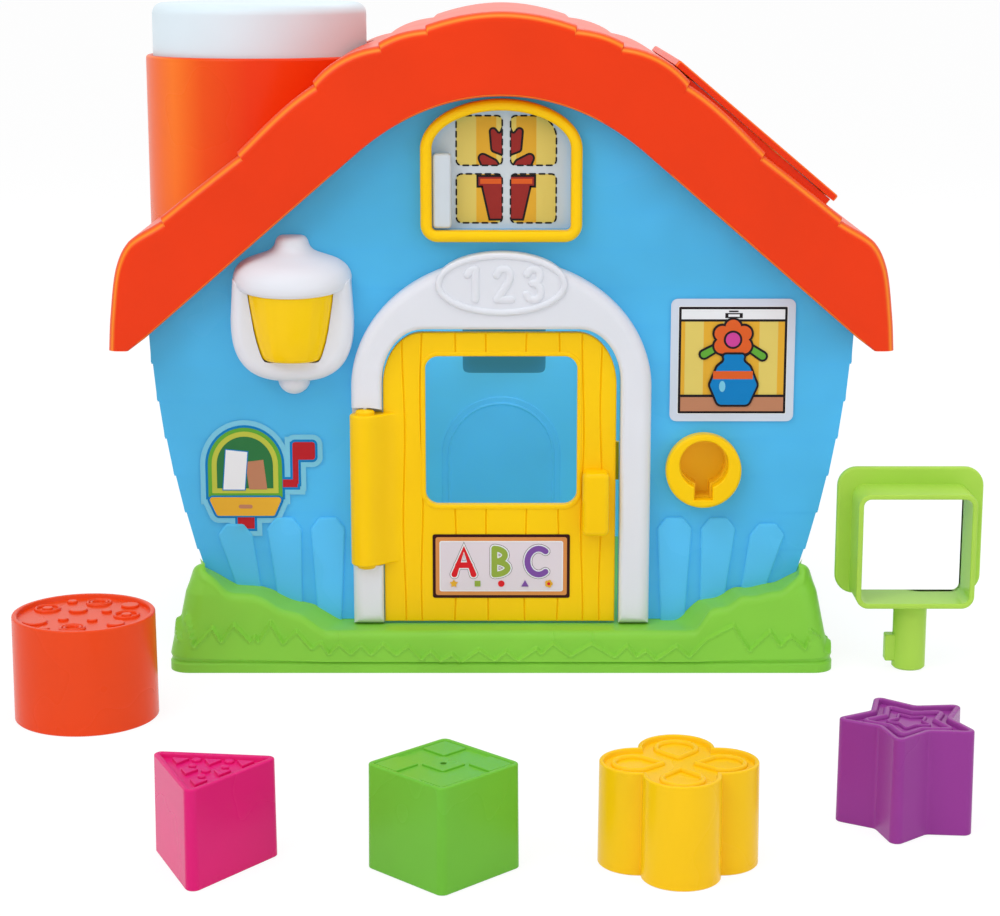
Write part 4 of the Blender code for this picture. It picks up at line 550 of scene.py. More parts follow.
# Prints: thickness of a layer, and the small steps between shapes that would otherwise lie in one plane
PRINT = 0.00006
PRINT_STEP = 0.000005
PRINT_TURNS = 6
PANE_PRINT = 0.00003
PRINT_CORNER = 0.0030
VASE = (
    (-0.22, -0.72), (0.26, -0.72), (0.40, -0.40), (0.28, -0.10), (0.16, 0.0), (0.20, 0.10),
    (-0.16, 0.10), (-0.12, 0.0), (-0.24, -0.10), (-0.36, -0.40),
)
VASE_BLOOM = (0.0, 0.34)
VASE_LEAVES = (
    ((0.0, 0.06), (-0.26, 0.21), (-0.46, 0.10)),
    ((0.04, 0.06), (0.28, 0.20), (0.48, 0.07)),
)
POT = ((-0.30, -0.92), (0.30, -0.92), (0.44, -0.30), (-0.44, -0.30))
TULIP = (
    (0.0, 0.26), (0.26, 0.36), (0.30, 0.84), (0.12, 0.62),
    (0.0, 0.90), (-0.12, 0.62), (-0.30, 0.84), (-0.26, 0.36),
)
TULIP_LEAF = ((0.02, -0.12), (0.42, 0.02), (0.56, 0.34), (0.20, 0.16))
LABEL_LINE = 0.0013
LABEL_BAND = 0.0017
LETTER_TALL = 0.0118
LETTER_HALF = 0.0013
LETTER_HALO = 0.0006
LETTER_PITCH = 0.0165
LETTER_RISE = 0.0022
SHAPE_DROP = 0.0079
SHAPE_SIZE = 0.0016
SHAPE_PITCH = 0.0105
PANES_X = ((-0.0194, 0.0004), (0.0040, 0.0237))
PANES_Z = ((0.1952, 0.2163), (0.2200, 0.2412))
PANE_ROUND = 0.0022
PANE_SWEEP = 0.0135
DASH = 0.0025
DASH_PITCH = 0.0041
DASH_HALF = 0.00036
DASH_STEPS = 4
PRINT_TONES = {
    "paper": (207, 217, 232),
    "white": (233, 236, 240),
    "black": (24, 18, 22),
    "gold": (226, 172, 50),
    "straw": (224, 202, 104),
    "blue": (0, 124, 192),
    "sky": (120, 198, 226),
    "brown": (186, 128, 96),
    "orange": (218, 94, 36),
    "pink": (202, 66, 150),
    "green": (95, 167, 54),
    "lime": (188, 194, 70),
    "pine": (44, 116, 64),
    "red": (184, 28, 38),
    "maroon": (150, 42, 38),
    "label_edge": (48, 4, 8),
    "label_band": (216, 141, 76),
    "label_panel": (224, 214, 224),
    "letter_red": (216, 26, 36),
    "letter_green": (146, 170, 66),
    "letter_purple": (124, 78, 162),
}


def rgb(red, green, blue):
    """A screen colour of 0 to 255 a channel, as the linear colour that shaders take."""
    linear = []
    for value in (red, green, blue):
        share = value / 255
        linear.append(share / 12.92 if share <= 0.04045 else ((share + 0.055) / 1.055) ** 2.4)
    return (*linear, 1.0)


# Outlines: closed lines of points in a plane


def place(axis, a, b, along):
    """A point of a plane across an axis, as a place in the model."""
    return {"X": (along, a, b), "Y": (a, along, b), "Z": (a, b, along)}[axis]


def arc(centre, radii, start, end, steps):
    """Points on an ellipse's arc, angles in degrees."""
    points = []
    for i in range(steps + 1):
        turn = math.radians(start + (end - start) * i / steps)
        points.append((centre[0] + radii[0] * math.cos(turn), centre[1] + radii[1] * math.sin(turn)))
    return points


def circle(centre, radius, steps=ROUND_STEPS):
    return arc(centre, (radius, radius), 0, 360, steps)[:-1]


def ellipse(centre, radii, steps=ROUND_STEPS):
    return arc(centre, radii, 0, 360, steps)[:-1]


def rectangle(low, high):
    return [tuple(low), (high[0], low[1]), tuple(high), (low[0], high[1])]


def filleted(points, radius, steps=CORNER_STEPS):
    """A closed outline with its corners rounded, by one radius or by one for each corner."""
    made = []
    count = len(points)
    for i in range(count):
        size = radius[i] if isinstance(radius, tuple) else radius
        before, here, after = (Vector(points[(i + k) % count]) for k in (-1, 0, 1))
        if size == 0:
            made.append(tuple(here))
            continue
        into, out = before - here, after - here
        half = into.angle(out) / 2
        reach = min(size / math.tan(half), into.length * SHORT_SIDE_SHARE, out.length * SHORT_SIDE_SHARE)
        size = reach * math.tan(half)
        middle = here + (into.normalized() + out.normalized()).normalized() * (size / math.sin(half))
        first = here + into.normalized() * reach
        last = here + out.normalized() * reach
        turn = (first - middle).angle_signed(last - middle)
        for k in range(steps + 1):
            made.append(tuple(middle + Matrix.Rotation(-turn * k / steps, 2) @ (first - middle)))
    return made


def smooth_line(points, steps):
    """A curve through open points, with that many steps between each two."""
    here = [Vector(point) for point in points]
    here = [here[0] * 2 - here[1]] + here + [here[-1] * 2 - here[-2]]
    knots = [0.0]
    for first, second in zip(here, here[1:]):
        knots.append(knots[-1] + max((second - first).length, FINE / 100) ** 0.5)
    made = []
    for i in range(1, len(here) - 2):
        for k in range(steps):
            t = knots[i] + (knots[i + 1] - knots[i]) * k / steps
            made.append(tuple(through(here[i - 1:i + 3], knots[i - 1:i + 3], t)))
    made.append(tuple(here[-2]))
    return made


def through(points, knots, t):
    """The place at knot value t of the curve through the middle two of four points."""
    for spans in (((0, 1), (1, 2), (2, 3)), ((0, 2), (1, 3)), ((1, 2),)):
        shorter = []
        for k, (low, high) in enumerate(spans):
            share = (t - knots[low]) / (knots[high] - knots[low])
            shorter.append(points[k].lerp(points[k + 1], share))
        points = shorter
    return points[0]


def turning(points):
    """Twice the area inside a closed outline, positive if it runs anticlockwise."""
    total = 0.0
    for (x0, y0), (x1, y1) in zip(points, points[1:] + points[:1]):
        total += x0 * y1 - x1 * y0
    return total


def grown(points, amount):
    """A closed outline moved outwards, by one amount or one for each point. Less than 0 is inwards."""
    line = np.array(points)
    ahead = np.roll(line, -1, axis=0) - line
    ahead /= np.maximum(np.linalg.norm(ahead, axis=1), 1e-9)[:, None]
    normals = np.stack((ahead[:, 1], -ahead[:, 0]), axis=1)
    if turning(points) < 0:
        normals = -normals
    before = np.roll(normals, 1, axis=0)
    both = normals + before
    share = np.maximum((both * normals).sum(axis=1), MITER_SHARE)
    moved_line = line + both / share[:, None] * np.reshape(amount, (-1, 1))
    return [tuple(point) for point in moved_line]


# Bodies: meshes in the making


def loft(rings, closed=False):
    """A body through rings of points with the same count: capped at both ends, or joined end to end."""
    body = bmesh.new()
    made = [[body.verts.new(point) for point in ring] for ring in rings]
    count = len(made[0])
    pairs = list(zip(made, made[1:]))
    if closed:
        pairs.append((made[-1], made[0]))
    for low, high in pairs:
        for i in range(count):
            k = (i + 1) % count
            body.faces.new((low[i], low[k], high[k], high[i]))
    if not closed:
        body.faces.new(made[0])
        body.faces.new(made[-1])
    bmesh.ops.recalc_face_normals(body, faces=body.faces)
    return body


def prism(outline, low, high, axis="Y"):
    return loft([[place(axis, a, b, t) for a, b in outline] for t in (low, high)])


def layered(outline, levels, axis="Y"):
    """A body through copies of an outline, each as (place along the axis, growth)."""
    return loft([[place(axis, a, b, along) for a, b in grown(outline, grow)] for along, grow in levels])


def quarter_turns(steps=EDGE_STEPS):
    """Angles from 0 to 90 degrees in even steps."""
    return [math.radians(90 * i / steps) for i in range(steps + 1)]


def lengths_along(line):
    """The length from the start of an open line to each of its points."""
    run = [0.0]
    for first, second in zip(line, line[1:]):
        run.append(run[-1] + (second - first).length)
    return run


def edge_levels(front, back, edge, back_edge=0.0):
    """Levels of a body from front to back, its front edge rounded and its back edge too if asked."""
    sign = 1 if back > front else -1
    levels = []
    for turn in quarter_turns():
        levels.append((front + sign * edge * (1 - math.cos(turn)), edge * (math.sin(turn) - 1)))
    if back_edge == 0:
        return levels + [(back, 0.0)]
    for turn in quarter_turns():
        levels.append((back - sign * back_edge * (1 - math.sin(turn)), back_edge * (math.cos(turn) - 1)))
    return levels


def lip_levels(front, back, edge):
    """Levels of a cutter from in front of a face to behind it, which leaves a rounded lip."""
    sign = 1 if back > front else -1
    levels = [(front - sign * OVER, edge)]
    for turn in quarter_turns():
        levels.append((front + sign * edge * (1 - math.cos(turn)), edge * (1 - math.sin(turn))))
    return levels + [(back + sign * OVER, 0.0)]


def solid(outline, front, back, edge=EDGE, back_edge=0.0, axis="Y"):
    return layered(outline, edge_levels(front, back, edge, back_edge), axis)


def band(outline, half, height, base, axis="Y", sign=-1):
    """A half-round rib that runs along a closed outline on a face."""
    rings = []
    for i in range(EDGE_STEPS * 2 + 1):
        turn = math.pi * i / (EDGE_STEPS * 2)
        along = base + sign * height * math.sin(turn)
        rings.append([place(axis, a, b, along) for a, b in grown(outline, half * math.cos(turn))])
    sunk = base - sign * height / 2
    for grow in (-half, half):
        rings.append([place(axis, a, b, sunk) for a, b in grown(outline, grow)])
    return loft(rings, closed=True)


def rib(points, half, height, base):
    """A half-round rib with rounded ends along an open line on a face that looks at -Y."""
    line = [Vector(point) for point in points]
    stations = []
    for i, point in enumerate(line):
        ahead = (line[min(i + 1, len(line) - 1)] - line[max(i - 1, 0)]).normalized()
        stations.append((point, ahead, 1.0))
    stations = rib_end(stations[0], -half)[::-1] + stations + rib_end(stations[-1], half)
    rings = []
    for point, ahead, size in stations:
        across = Vector((-ahead.y, ahead.x)) * half * size
        ring = []
        for i in range(EDGE_STEPS * 4):
            turn = math.tau * i / (EDGE_STEPS * 4)
            flat = point + across * math.cos(turn)
            lift = math.sin(turn) * height * (size if math.sin(turn) > 0 else 1)
            ring.append((flat.x, base - lift, flat.y))
        rings.append(ring)
    return loft(rings)


def rib_end(station, reach):
    """Stations that round a rib off beyond its end."""
    point, ahead = station[:2]
    extra = []
    for k in range(1, EDGE_STEPS + 1):
        turn = math.radians(RIB_END_DEG * k / EDGE_STEPS)
        extra.append((point + ahead * reach * math.sin(turn), ahead, math.cos(turn)))
    return extra


def rod_profile(radius, low, high):
    """A rod's profile with bevelled ends, to be turned."""
    end = radius / 2
    return [(0, low), (end, low), (radius, low + end), (radius, high - end), (end, high), (0, high)]


def turned(profile, centre, axis="Z", steps=ROUND_STEPS, shape=None):
    """A profile of (radius, place along the axis) turned about an axis. shape scales radii by angle."""
    body = bmesh.new()
    loops = []
    for radius, along in profile:
        if radius == 0:
            loops.append([body.verts.new(place(axis, centre[0], centre[1], along))] * steps)
            continue
        ring = []
        for i in range(steps):
            turn = math.tau * i / steps
            size = radius * (shape(turn) if shape else 1)
            a, b = centre[0] + size * math.cos(turn), centre[1] + size * math.sin(turn)
            ring.append(body.verts.new(place(axis, a, b, along)))
        loops.append(ring)
    for low, high in zip(loops, loops[1:]):
        for i in range(steps):
            k = (i + 1) % steps
            corners = []
            for corner in (low[i], low[k], high[k], high[i]):
                if corner not in corners:
                    corners.append(corner)
            body.faces.new(corners)
    bmesh.ops.recalc_face_normals(body, faces=body.faces)
    return body


def moved(body, matrix):
    body.transform(matrix)
    return body


def add_to(whole, part):
    """Adds a body to another one, which takes it over."""
    mesh = bpy.data.meshes.new("part")
    part.to_mesh(mesh)
    part.free()
    whole.from_mesh(mesh)
    bpy.data.meshes.remove(mesh)


def together(*bodies):
    """Several bodies as one mesh."""
    whole = bodies[0]
    for other in bodies[1:]:
        add_to(whole, other)
    return whole


def linked(name, data):
    """A new object with that data, in the scene."""
    item = bpy.data.objects.new(name, data)
    bpy.context.scene.collection.objects.link(item)
    return item


def combined(body, tool, operation):
    """A body with a tool's space joined, cut away or kept alone."""
    items = []
    for part in (body, tool):
        mesh = bpy.data.meshes.new("part")
        part.to_mesh(mesh)
        part.free()
        items.append(linked("part", mesh))
    step = items[0].modifiers.new("step", "BOOLEAN")
    step.operation = operation
    step.solver = "EXACT"
    step.object = items[1]
    made = items[0].evaluated_get(bpy.context.evaluated_depsgraph_get())
    result = bmesh.new()
    result.from_mesh(made.data)
    for item in items:
        mesh = item.data
        bpy.data.objects.remove(item)
        bpy.data.meshes.remove(mesh)
    return result


def front_of(body, y):
    """The part of a body in front of a plane across the depth, closed there."""
    return kept_side(body, (0, y, 0), (0, 1, 0))


def cut(body, tool):
    return combined(body, tool, "DIFFERENCE")


def join(body, tool):
    return combined(body, tool, "UNION")


def keep(body, tool):
    return combined(body, tool, "INTERSECT")


def kept_side(body, point, normal):
    """The part of a body behind a plane, closed there."""
    bmesh.ops.bisect_plane(
        body,
        geom=list(body.verts) + list(body.edges) + list(body.faces),
        plane_co=point,
        plane_no=normal,
        clear_outer=True,
    )
    bmesh.ops.holes_fill(body, edges=[edge for edge in body.edges if edge.is_boundary])
    bmesh.ops.recalc_face_normals(body, faces=body.faces)
    return body


def piece(name, body, material, rides, stands_for=(), sharp_deg=SHARP_DEG):
    """A shown piece from a body: shaded, finished and set on its CAD body."""
    mesh = bpy.data.meshes.new(name)
    body.to_mesh(mesh)
    body.free()
    mesh.materials.append(material)
    mesh.shade_smooth()
    mesh.set_sharp_from_angle(angle=math.radians(sharp_deg))
    item = linked(name, mesh)
    step = item.modifiers.new("normals", "WEIGHTED_NORMAL")
    step.keep_sharp = True
    dress(item, rides, stands_for)


def dress(item, rides, stands_for):
    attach(item, rides)
    if stands_for:
        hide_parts(*stands_for)


def printed(name, layers, rides, stands_for=()):
    """Flat coloured shapes over each other, each layer as (shapes, material, front, back), as one piece."""
    mesh = bpy.data.meshes.new(name)
    whole = bmesh.new()
    materials = []
    for shapes, material, front, back in layers:
        if material not in materials:
            materials.append(material)
            mesh.materials.append(material)
        for i, shape in enumerate(shapes):
            near = front - PRINT_STEP * (i % PRINT_TURNS)
            layer = prism(shape, near, back) if isinstance(shape, list) else shape
            for face in layer.faces:
                face.material_index = materials.index(material)
            add_to(whole, layer)
    whole.to_mesh(mesh)
    whole.free()
    dress(linked(name, mesh), rides, stands_for)


# Finishes


def node(tree, kind, inputs=None, **values):
    """A new shader node with its fixed inputs and its own settings."""
    made = tree.nodes.new("ShaderNode" + kind)
    for key, value in values.items():
        setattr(made, key, value)
    for key, value in (inputs or {}).items():
        made.inputs[key].default_value = value
    return made


def wire(source, target):
    """Links an output socket to an input socket."""
    target.id_data.links.new(source, target)


def maths(tree, operation, *values):
    """The result of an operation on sockets and numbers, as a socket."""
    made = node(tree, "Math", operation=operation)
    for socket, value in zip(made.inputs, values):
        if isinstance(value, float):
            socket.default_value = value
        else:
            wire(value, socket)
    return made.outputs[0]


def mixed(tree, share, first, second):
    """Two shaders mixed by a share, a socket or a number."""
    made = node(tree, "MixShader")
    if isinstance(share, float):
        made.inputs[0].default_value = share
    else:
        wire(share, made.inputs[0])
    wire(first.outputs[0], made.inputs[1])
    wire(second.outputs[0], made.inputs[2])
    return made


def ramp_of(tree, source, stops):
    """A colour ramp fed by a socket. stops hold (place, colour)."""
    made = node(tree, "ValToRGB")
    steps = made.color_ramp.elements
    while len(steps) < len(stops):
        steps.new(0.5)
    for step, (at, colour) in zip(steps, stops):
        step.position = at
        step.color = colour
    wire(source, made.inputs["Fac"])
    return made.outputs["Color"]


def own_places(tree):
    """Places in the piece's own frame, which its finish is laid out on."""
    return node(tree, "TexCoord").outputs["Object"]


def scaled(colour, by):
    return tuple(min(1.0, value * by) for value in colour[:3]) + (1.0,)


def plastic(name, colour, rough, mottle, grain=0.05, light_share=0.0):
    """Moulded plastic: flow mottling in its colour, uneven gloss and a fine surface grain."""
    made = bpy.data.materials.new(name)
    made.use_nodes = True
    tree = made.node_tree
    shader = tree.nodes["Principled BSDF"]
    places = own_places(tree)
    flow = node(tree, "TexNoise", {"Scale": FLOW_SCALE, "Detail": 2.0, "Roughness": 0.45})
    wire(places, flow.inputs["Vector"])
    stops = ((FLOW_STOPS[0], scaled(colour, 1 - mottle)), (FLOW_STOPS[1], scaled(colour, 1 + mottle)))
    wire(ramp_of(tree, flow.outputs["Fac"], stops), shader.inputs["Base Color"])
    gloss = node(tree, "MapRange", {"To Min": rough + GLOSS_SPAN[0], "To Max": rough + GLOSS_SPAN[1]})
    wire(flow.outputs["Fac"], gloss.inputs["Value"])
    wire(gloss.outputs["Result"], shader.inputs["Roughness"])
    fine = node(tree, "TexNoise", {"Scale": GRAIN_SCALE, "Detail": 2.0, "Roughness": 0.5})
    wire(places, fine.inputs["Vector"])
    bump = node(tree, "Bump", {"Strength": grain, "Distance": FINE})
    wire(fine.outputs["Fac"], bump.inputs["Height"])
    wire(bump.outputs["Normal"], shader.inputs["Normal"])
    shader.inputs["IOR"].default_value = PLASTIC_IOR
    shader.inputs["Specular IOR Level"].default_value = SHINE
    if light_share:
        let_light_in(tree, shader, light_share)
    return made


def let_light_in(tree, shader, share):
    """Tinted light passes through the plastic, so what is inside is lit too."""
    shadow = node(tree, "LightPath").outputs["Is Shadow Ray"]
    clear = node(tree, "BsdfTransparent", {"Color": SHADOW_TINT})
    glow = node(tree, "BsdfTranslucent")
    wire(base_colour_link(tree), glow.inputs["Color"])
    body = mixed(tree, GLOW_SHARE, shader, glow)
    whole = mixed(tree, maths(tree, "MULTIPLY", shadow, share), body, clear)
    wire(whole.outputs[0], tree.nodes["Material Output"].inputs["Surface"])


def recolour(tree, share, colour):
    """Mixes a second colour into a finish, by a socket's share."""
    mix = node(tree, "Mix", data_type="RGBA")
    wire(share, mix.inputs["Factor"])
    wire(base_colour_link(tree), mix.inputs["A"])
    mix.inputs["B"].default_value = colour
    wire(mix.outputs["Result"], tree.nodes["Principled BSDF"].inputs["Base Color"])


def painted_glow(material, strength):
    """Painted light: an even cyan glow from the plastic, so that its shaded parts stay bright."""
    shader = material.node_tree.nodes["Principled BSDF"]
    shader.inputs["Emission Color"].default_value = PAINTED_GLOW_TONE
    shader.inputs["Emission Strength"].default_value = strength


def base_colour_link(tree):
    """The socket that now feeds the shader's colour."""
    return tree.nodes["Principled BSDF"].inputs["Base Color"].links[0].from_socket


def paint_highlight_by_normal(material, axis, stops, colour):
    """Paints a highlight colour in where the surface turns a given way. stops hold (turn, share), each 0 to
    1.
    """
    tree = material.node_tree
    split = node(tree, "SeparateXYZ")
    wire(node(tree, "NewGeometry").outputs["Normal"], split.inputs[0])
    turn = node(tree, "MapRange", {"From Min": -1.0, "From Max": 1.0})
    wire(split.outputs[axis], turn.inputs["Value"])
    tones = [(at, (share, share, share, 1.0)) for at, share in stops]
    recolour(tree, ramp_of(tree, turn.outputs["Result"], tones), colour)


def ink(name, colour):
    """Printed ink: a dot grain in its colour under a satin film."""
    return plastic(name, colour, 0.42, 0.03, 0.03)


def metal(name, colour, rough):
    made = plastic(name, colour, rough, 0.06, 0.08)
    made.node_tree.nodes["Principled BSDF"].inputs["Metallic"].default_value = 1.0
    return made


def build_finishes():
    """Every finish, by name."""
    made = {name: plastic(name, rgb(*tone), *rest) for name, (tone, *rest) in PLASTICS.items()}
    made["steel"] = metal("steel", rgb(*STEEL), 0.30)
    made["sticker_paper"] = ink("sticker_paper", rgb(*STICKER_PAPER))
    # Painted highlights: a warm band on the roof's rounded edges and an upright band down the chimney's left
    # side
    paint_highlight_by_normal(made["roof_orange"], "Y", ROOF_HIGHLIGHT_STOPS, rgb(255, 150, 40))
    paint_highlight_by_normal(made["chimney_orange"], "X", CHIMNEY_HIGHLIGHT_STOPS, rgb(255, 128, 30))
    # Painted light: an even glow on the walls and pickets, stronger on the rear wall
    painted_glow(made["wall_blue"], WALL_PAINTED_GLOW)
    painted_glow(made["picket_blue"], WALL_PAINTED_GLOW)
    painted_glow(made["rear_blue"], REAR_PAINTED_GLOW)
    # Painted shade of the catch behind the rear wall
    paint_catch_shade(made["rear_blue"].node_tree)
    return made


def paint_catch_shade(tree):
    """Painted shade: a darker, greener patch with round corners, where the catch behind the wall darkens the
    light that comes through it.
    """
    split = node(tree, "SeparateXYZ")
    wire(own_places(tree), split.inputs[0])
    parts = []
    for axis, middle, half in zip("XZ", CATCH_SHADE_CENTRE, CATCH_SHADE_HALF):
        away = maths(tree, "SUBTRACT", split.outputs[axis], middle)
        far = maths(tree, "ABSOLUTE", maths(tree, "DIVIDE", away, half))
        parts.append(maths(tree, "POWER", far, CATCH_SHADE_POWER))
    inside = maths(tree, "LESS_THAN", maths(tree, "ADD", *parts), 1.0)
    recolour(tree, inside, rgb(*CATCH_SHADE_TONE))


# House lines


def wall_half(z):
    """Half the house's width at a height: the walls lean outwards and bow a little."""
    share = (z - FLOOR_Z) / (SHOULDER_Z - FLOOR_Z)
    bow = WALL_BOW * 4 * share * (1 - share)
    foot = BASE_HALF - WALL_INSET
    return foot + (ROOF_HALF - SHOULDER_INSET - foot) * share + bow


def lap_heights(low, high):
    """The heights where one board laps over the next, between two heights."""
    count = int((RIDGE_Z - FLOOR_Z) / LAP_PITCH) + 1
    heights = [FLOOR_Z - LAP_START + LAP_PITCH * i for i in range(count)]
    return [z for z in heights if low < z < high]


def lapped(face, out, relief, foot, top):
    """A wall's outer line with its boards' laps. face gives the plain line at a height."""
    points = [(face(foot) + out * relief, foot)]
    for height in lap_heights(foot, top):
        points.append((face(height), height))
        points.append((face(height) + out * relief, height))
    points.append((face(top), top))
    return points


def roof_point(share):
    return share[0] * ROOF_HALF, EAVE_Z + share[1] * (RIDGE_Z - EAVE_Z)


def roof_stations():
    """Points along the roof's right half from the ridge to the eave, each (point, outward normal, step)."""
    shares = RIDGE_SHARES + ROW_SHARES + EAVE_SHARES
    left = [roof_point((-a, b)) for a, b in reversed(RIDGE_SHARES[1:])]
    line = smooth_line(left + [roof_point(share) for share in shares], ROOF_STEPS)
    line = [Vector(point) for point in line[len(left) * ROOF_STEPS:]]
    run = lengths_along(line)
    rows = [run[shares.index(row) * ROOF_STEPS] for row in ROW_SHARES]
    last = run[shares.index(EAVE_SHARES[0]) * ROOF_STEPS]
    places = [value for value in run if all(abs(value - row) > SHINGLE_NOSE for row in rows)]
    for row in rows:
        places += [row + SHINGLE_NOSE * share for share in NOSE_SHARES]
    stations = []
    for value in sorted(set(places)):
        point, normal = along_line(line, run, value)
        stations.append((point, normal, shingle_drop(value, rows, last)))
    return stations


def along_line(line, run, value):
    """The point at a length along the roof's line, and its outward normal."""
    for i in range(len(run) - 1):
        if run[i] <= value <= run[i + 1] + FINE / 100:
            share = (value - run[i]) / (run[i + 1] - run[i])
            low, high = max(i - 1, 0), min(i + 2, len(line) - 1)
            ahead = (line[high] - line[low]).normalized()
            if i == 0:
                ahead = Vector((1, 0)).lerp(ahead, share).normalized()
            if i + 2 == len(run):
                ahead = ahead.lerp(Vector((0, -1)), share).normalized()
            return line[i].lerp(line[i + 1], share), Vector((-ahead.y, ahead.x))
    return line[-1], Vector((1, 0))


def shingle_drop(value, rows, last):
    """How far the shingles' surface lies under the roof's line: it rises to each row's nose, then drops."""
    ends = rows + [last]
    for first, second in zip(ends, ends[1:]):
        if first <= value < second:
            rise = (value - first) / (second - first)
            nose = NOSE_MIDDLE_SHARE if value == first else 1.0
            bulge = BULGES[ends.index(first)] * 4 * rise * (1 - rise)
            return SHINGLE_STEP * (1 - rise) * nose - bulge
    for row in rows:
        if abs(value - (row + SHINGLE_NOSE * NOSE_SHARES[1])) < FINE / 100:
            return SHINGLE_STEP * NOSE_FALL_SHARE
    return 0.0


def roof_underside():
    """The arch under the fascia, from the right eave to its middle."""
    foot = [Vector(roof_point(share)) for share in ARCH_FOOT_SHARES]
    spring = Vector(roof_point(ARCH_SPRING_SHARE))
    top = Vector((0, RIDGE_Z - ARCH_CREST))
    pull = Vector((ROOF_HALF * ARCH_PULL_SHARE, top.y))
    points = foot + [spring]
    for i in range(1, ARCH_STEPS + 1):
        t = i / ARCH_STEPS
        points.append(spring * (1 - t) ** 2 + pull * 2 * t * (1 - t) + top * t * t)
    return points


def spread(points, count):
    """That many points along an open line, at even distances."""
    run = lengths_along(points)
    made = []
    k = 0
    for i in range(count):
        value = run[-1] * i / (count - 1)
        while k < len(run) - 2 and run[k + 1] < value:
            k += 1
        share = (value - run[k]) / (run[k + 1] - run[k])
        made.append(points[k].lerp(points[k + 1], min(1.0, share)))
    return made


def heights_at(line, at):
    """Heights of an open line of (place, height) at many places."""
    return np.interp(at, [a for a, _ in line], [b for _, b in line])


def hill_line():
    """The grass line across the front and the rear."""
    rise = HILL_Z - FLOOR_Z
    left = [(-BASE_HALF * a, FLOOR_Z + rise * b) for a, b in reversed(LEFT_HILL_SHARES)]
    right = [(BASE_HALF * a, FLOOR_Z + rise * b) for a, b in RIGHT_HILL_SHARES]
    return [(-BASE_HALF, HILL_Z)] + left + right + [(BASE_HALF, HILL_Z)]


def side_hill_line():
    rise = HILL_Z - FLOOR_Z
    right = [(BASE_HALF_DEPTH * a, FLOOR_Z + rise * b) for a, b in SIDE_HILL_SHARES]
    return [(-a, b) for a, b in reversed(right[1:])] + right


def heights_on(line, at):
    """Heights of an open line at many places, its corners softened."""
    fine = np.linspace(line[0][0], line[-1][0], HILL_SAMPLES)
    padded = np.pad(heights_at(line, fine), HILL_SOFT, mode="edge")
    kernel = np.hanning(HILL_SOFT * 2 + 3)[1:-1]
    return np.interp(at, fine, np.convolve(padded, kernel / kernel.sum(), mode="valid"))


# Base


def perimeter(columns_x, columns_y, corner_steps):
    """Stations round a rounded rectangle: (share across, share in depth, normal) for each."""
    stations = []
    for side in range(4):
        count = columns_x if side % 2 == 0 else columns_y
        for i in range(count):
            share = -1 + 2 * i / count
            sides = ((share, -1, 0, -1), (1, share, 1, 0), (-share, 1, 0, 1), (-1, -share, -1, 0))
            stations.append(sides[side])
        across, deep = ((1, -1), (1, 1), (-1, 1), (-1, -1))[side]
        for i in range(corner_steps):
            turn = math.radians(side * 90 - 90 + 90 * i / corner_steps)
            stations.append((across, deep, math.cos(turn), math.sin(turn)))
    return np.array(stations)


def taper_at(z):
    """How far the base's side face leans in at a height, across and in depth."""
    heights = (0.0, FOOT_RIM - FOOT_STEP, FOOT_RIM, BASE_SHOULDER_Z, HILL_Z)
    across = (0.0, 0.0, FOOT_STEP, BASE_SHOULDER_IN[0], BASE_TAPER[0])
    deep = (0.0, 0.0, FOOT_STEP, BASE_SHOULDER_IN[1], BASE_TAPER[1])
    return np.interp(z, heights, across), np.interp(z, heights, deep)


def ring_points(stations, half, depth, corner, z):
    x = stations[:, 0] * (half - corner) + stations[:, 2] * corner
    y = stations[:, 1] * (depth - corner) + stations[:, 3] * corner
    return np.stack((x, y, np.broadcast_to(z, x.shape)), axis=1)


def face_points(stations, z):
    """Points of the base's side face at each station's height."""
    across, deep = taper_at(z)
    return ring_points(stations, BASE_HALF - across, BASE_HALF_DEPTH - deep, BASE_CORNER, z)


def distance_to(line, u, z):
    """Signed distance to an open zigzag: positive below it."""
    best = np.full(u.shape, 1.0)
    for (u0, z0), (u1, z1) in zip(line, line[1:]):
        run = np.array((u1 - u0, z1 - z0))
        share = ((u - u0) * run[0] + (z - z0) * run[1]) / (run @ run)
        share = np.clip(share, 0, 1)
        best = np.minimum(best, np.hypot(u - u0 - share * run[0], z - z0 - share * run[1]))
    return np.where(z < heights_at(line, u), best, -best)


def grass_relief(stations, points):
    """How far the grass stands out of the mounds at each point."""
    front = [(a * BASE_HALF, b * HILL_Z) for a, b in GRASS_SHARES]
    across = np.abs(stations[:, 3]) >= np.abs(stations[:, 2])
    beside = points[:, 1] * SIDE_GRASS_SHARE + np.sign(points[:, 0]) * SIDE_GRASS_AWAY
    distance = distance_to(front, np.where(across, points[:, 0], beside), points[:, 2])
    share = np.clip(distance / GRASS_EDGE / 2 + 0.5, 0, 1)
    bead = GRASS_BEAD * np.exp(-(((distance - GRASS_EDGE * 2) / (GRASS_EDGE * 1.5)) ** 2))
    return GRASS_RELIEF * share * share * (3 - 2 * share) + bead


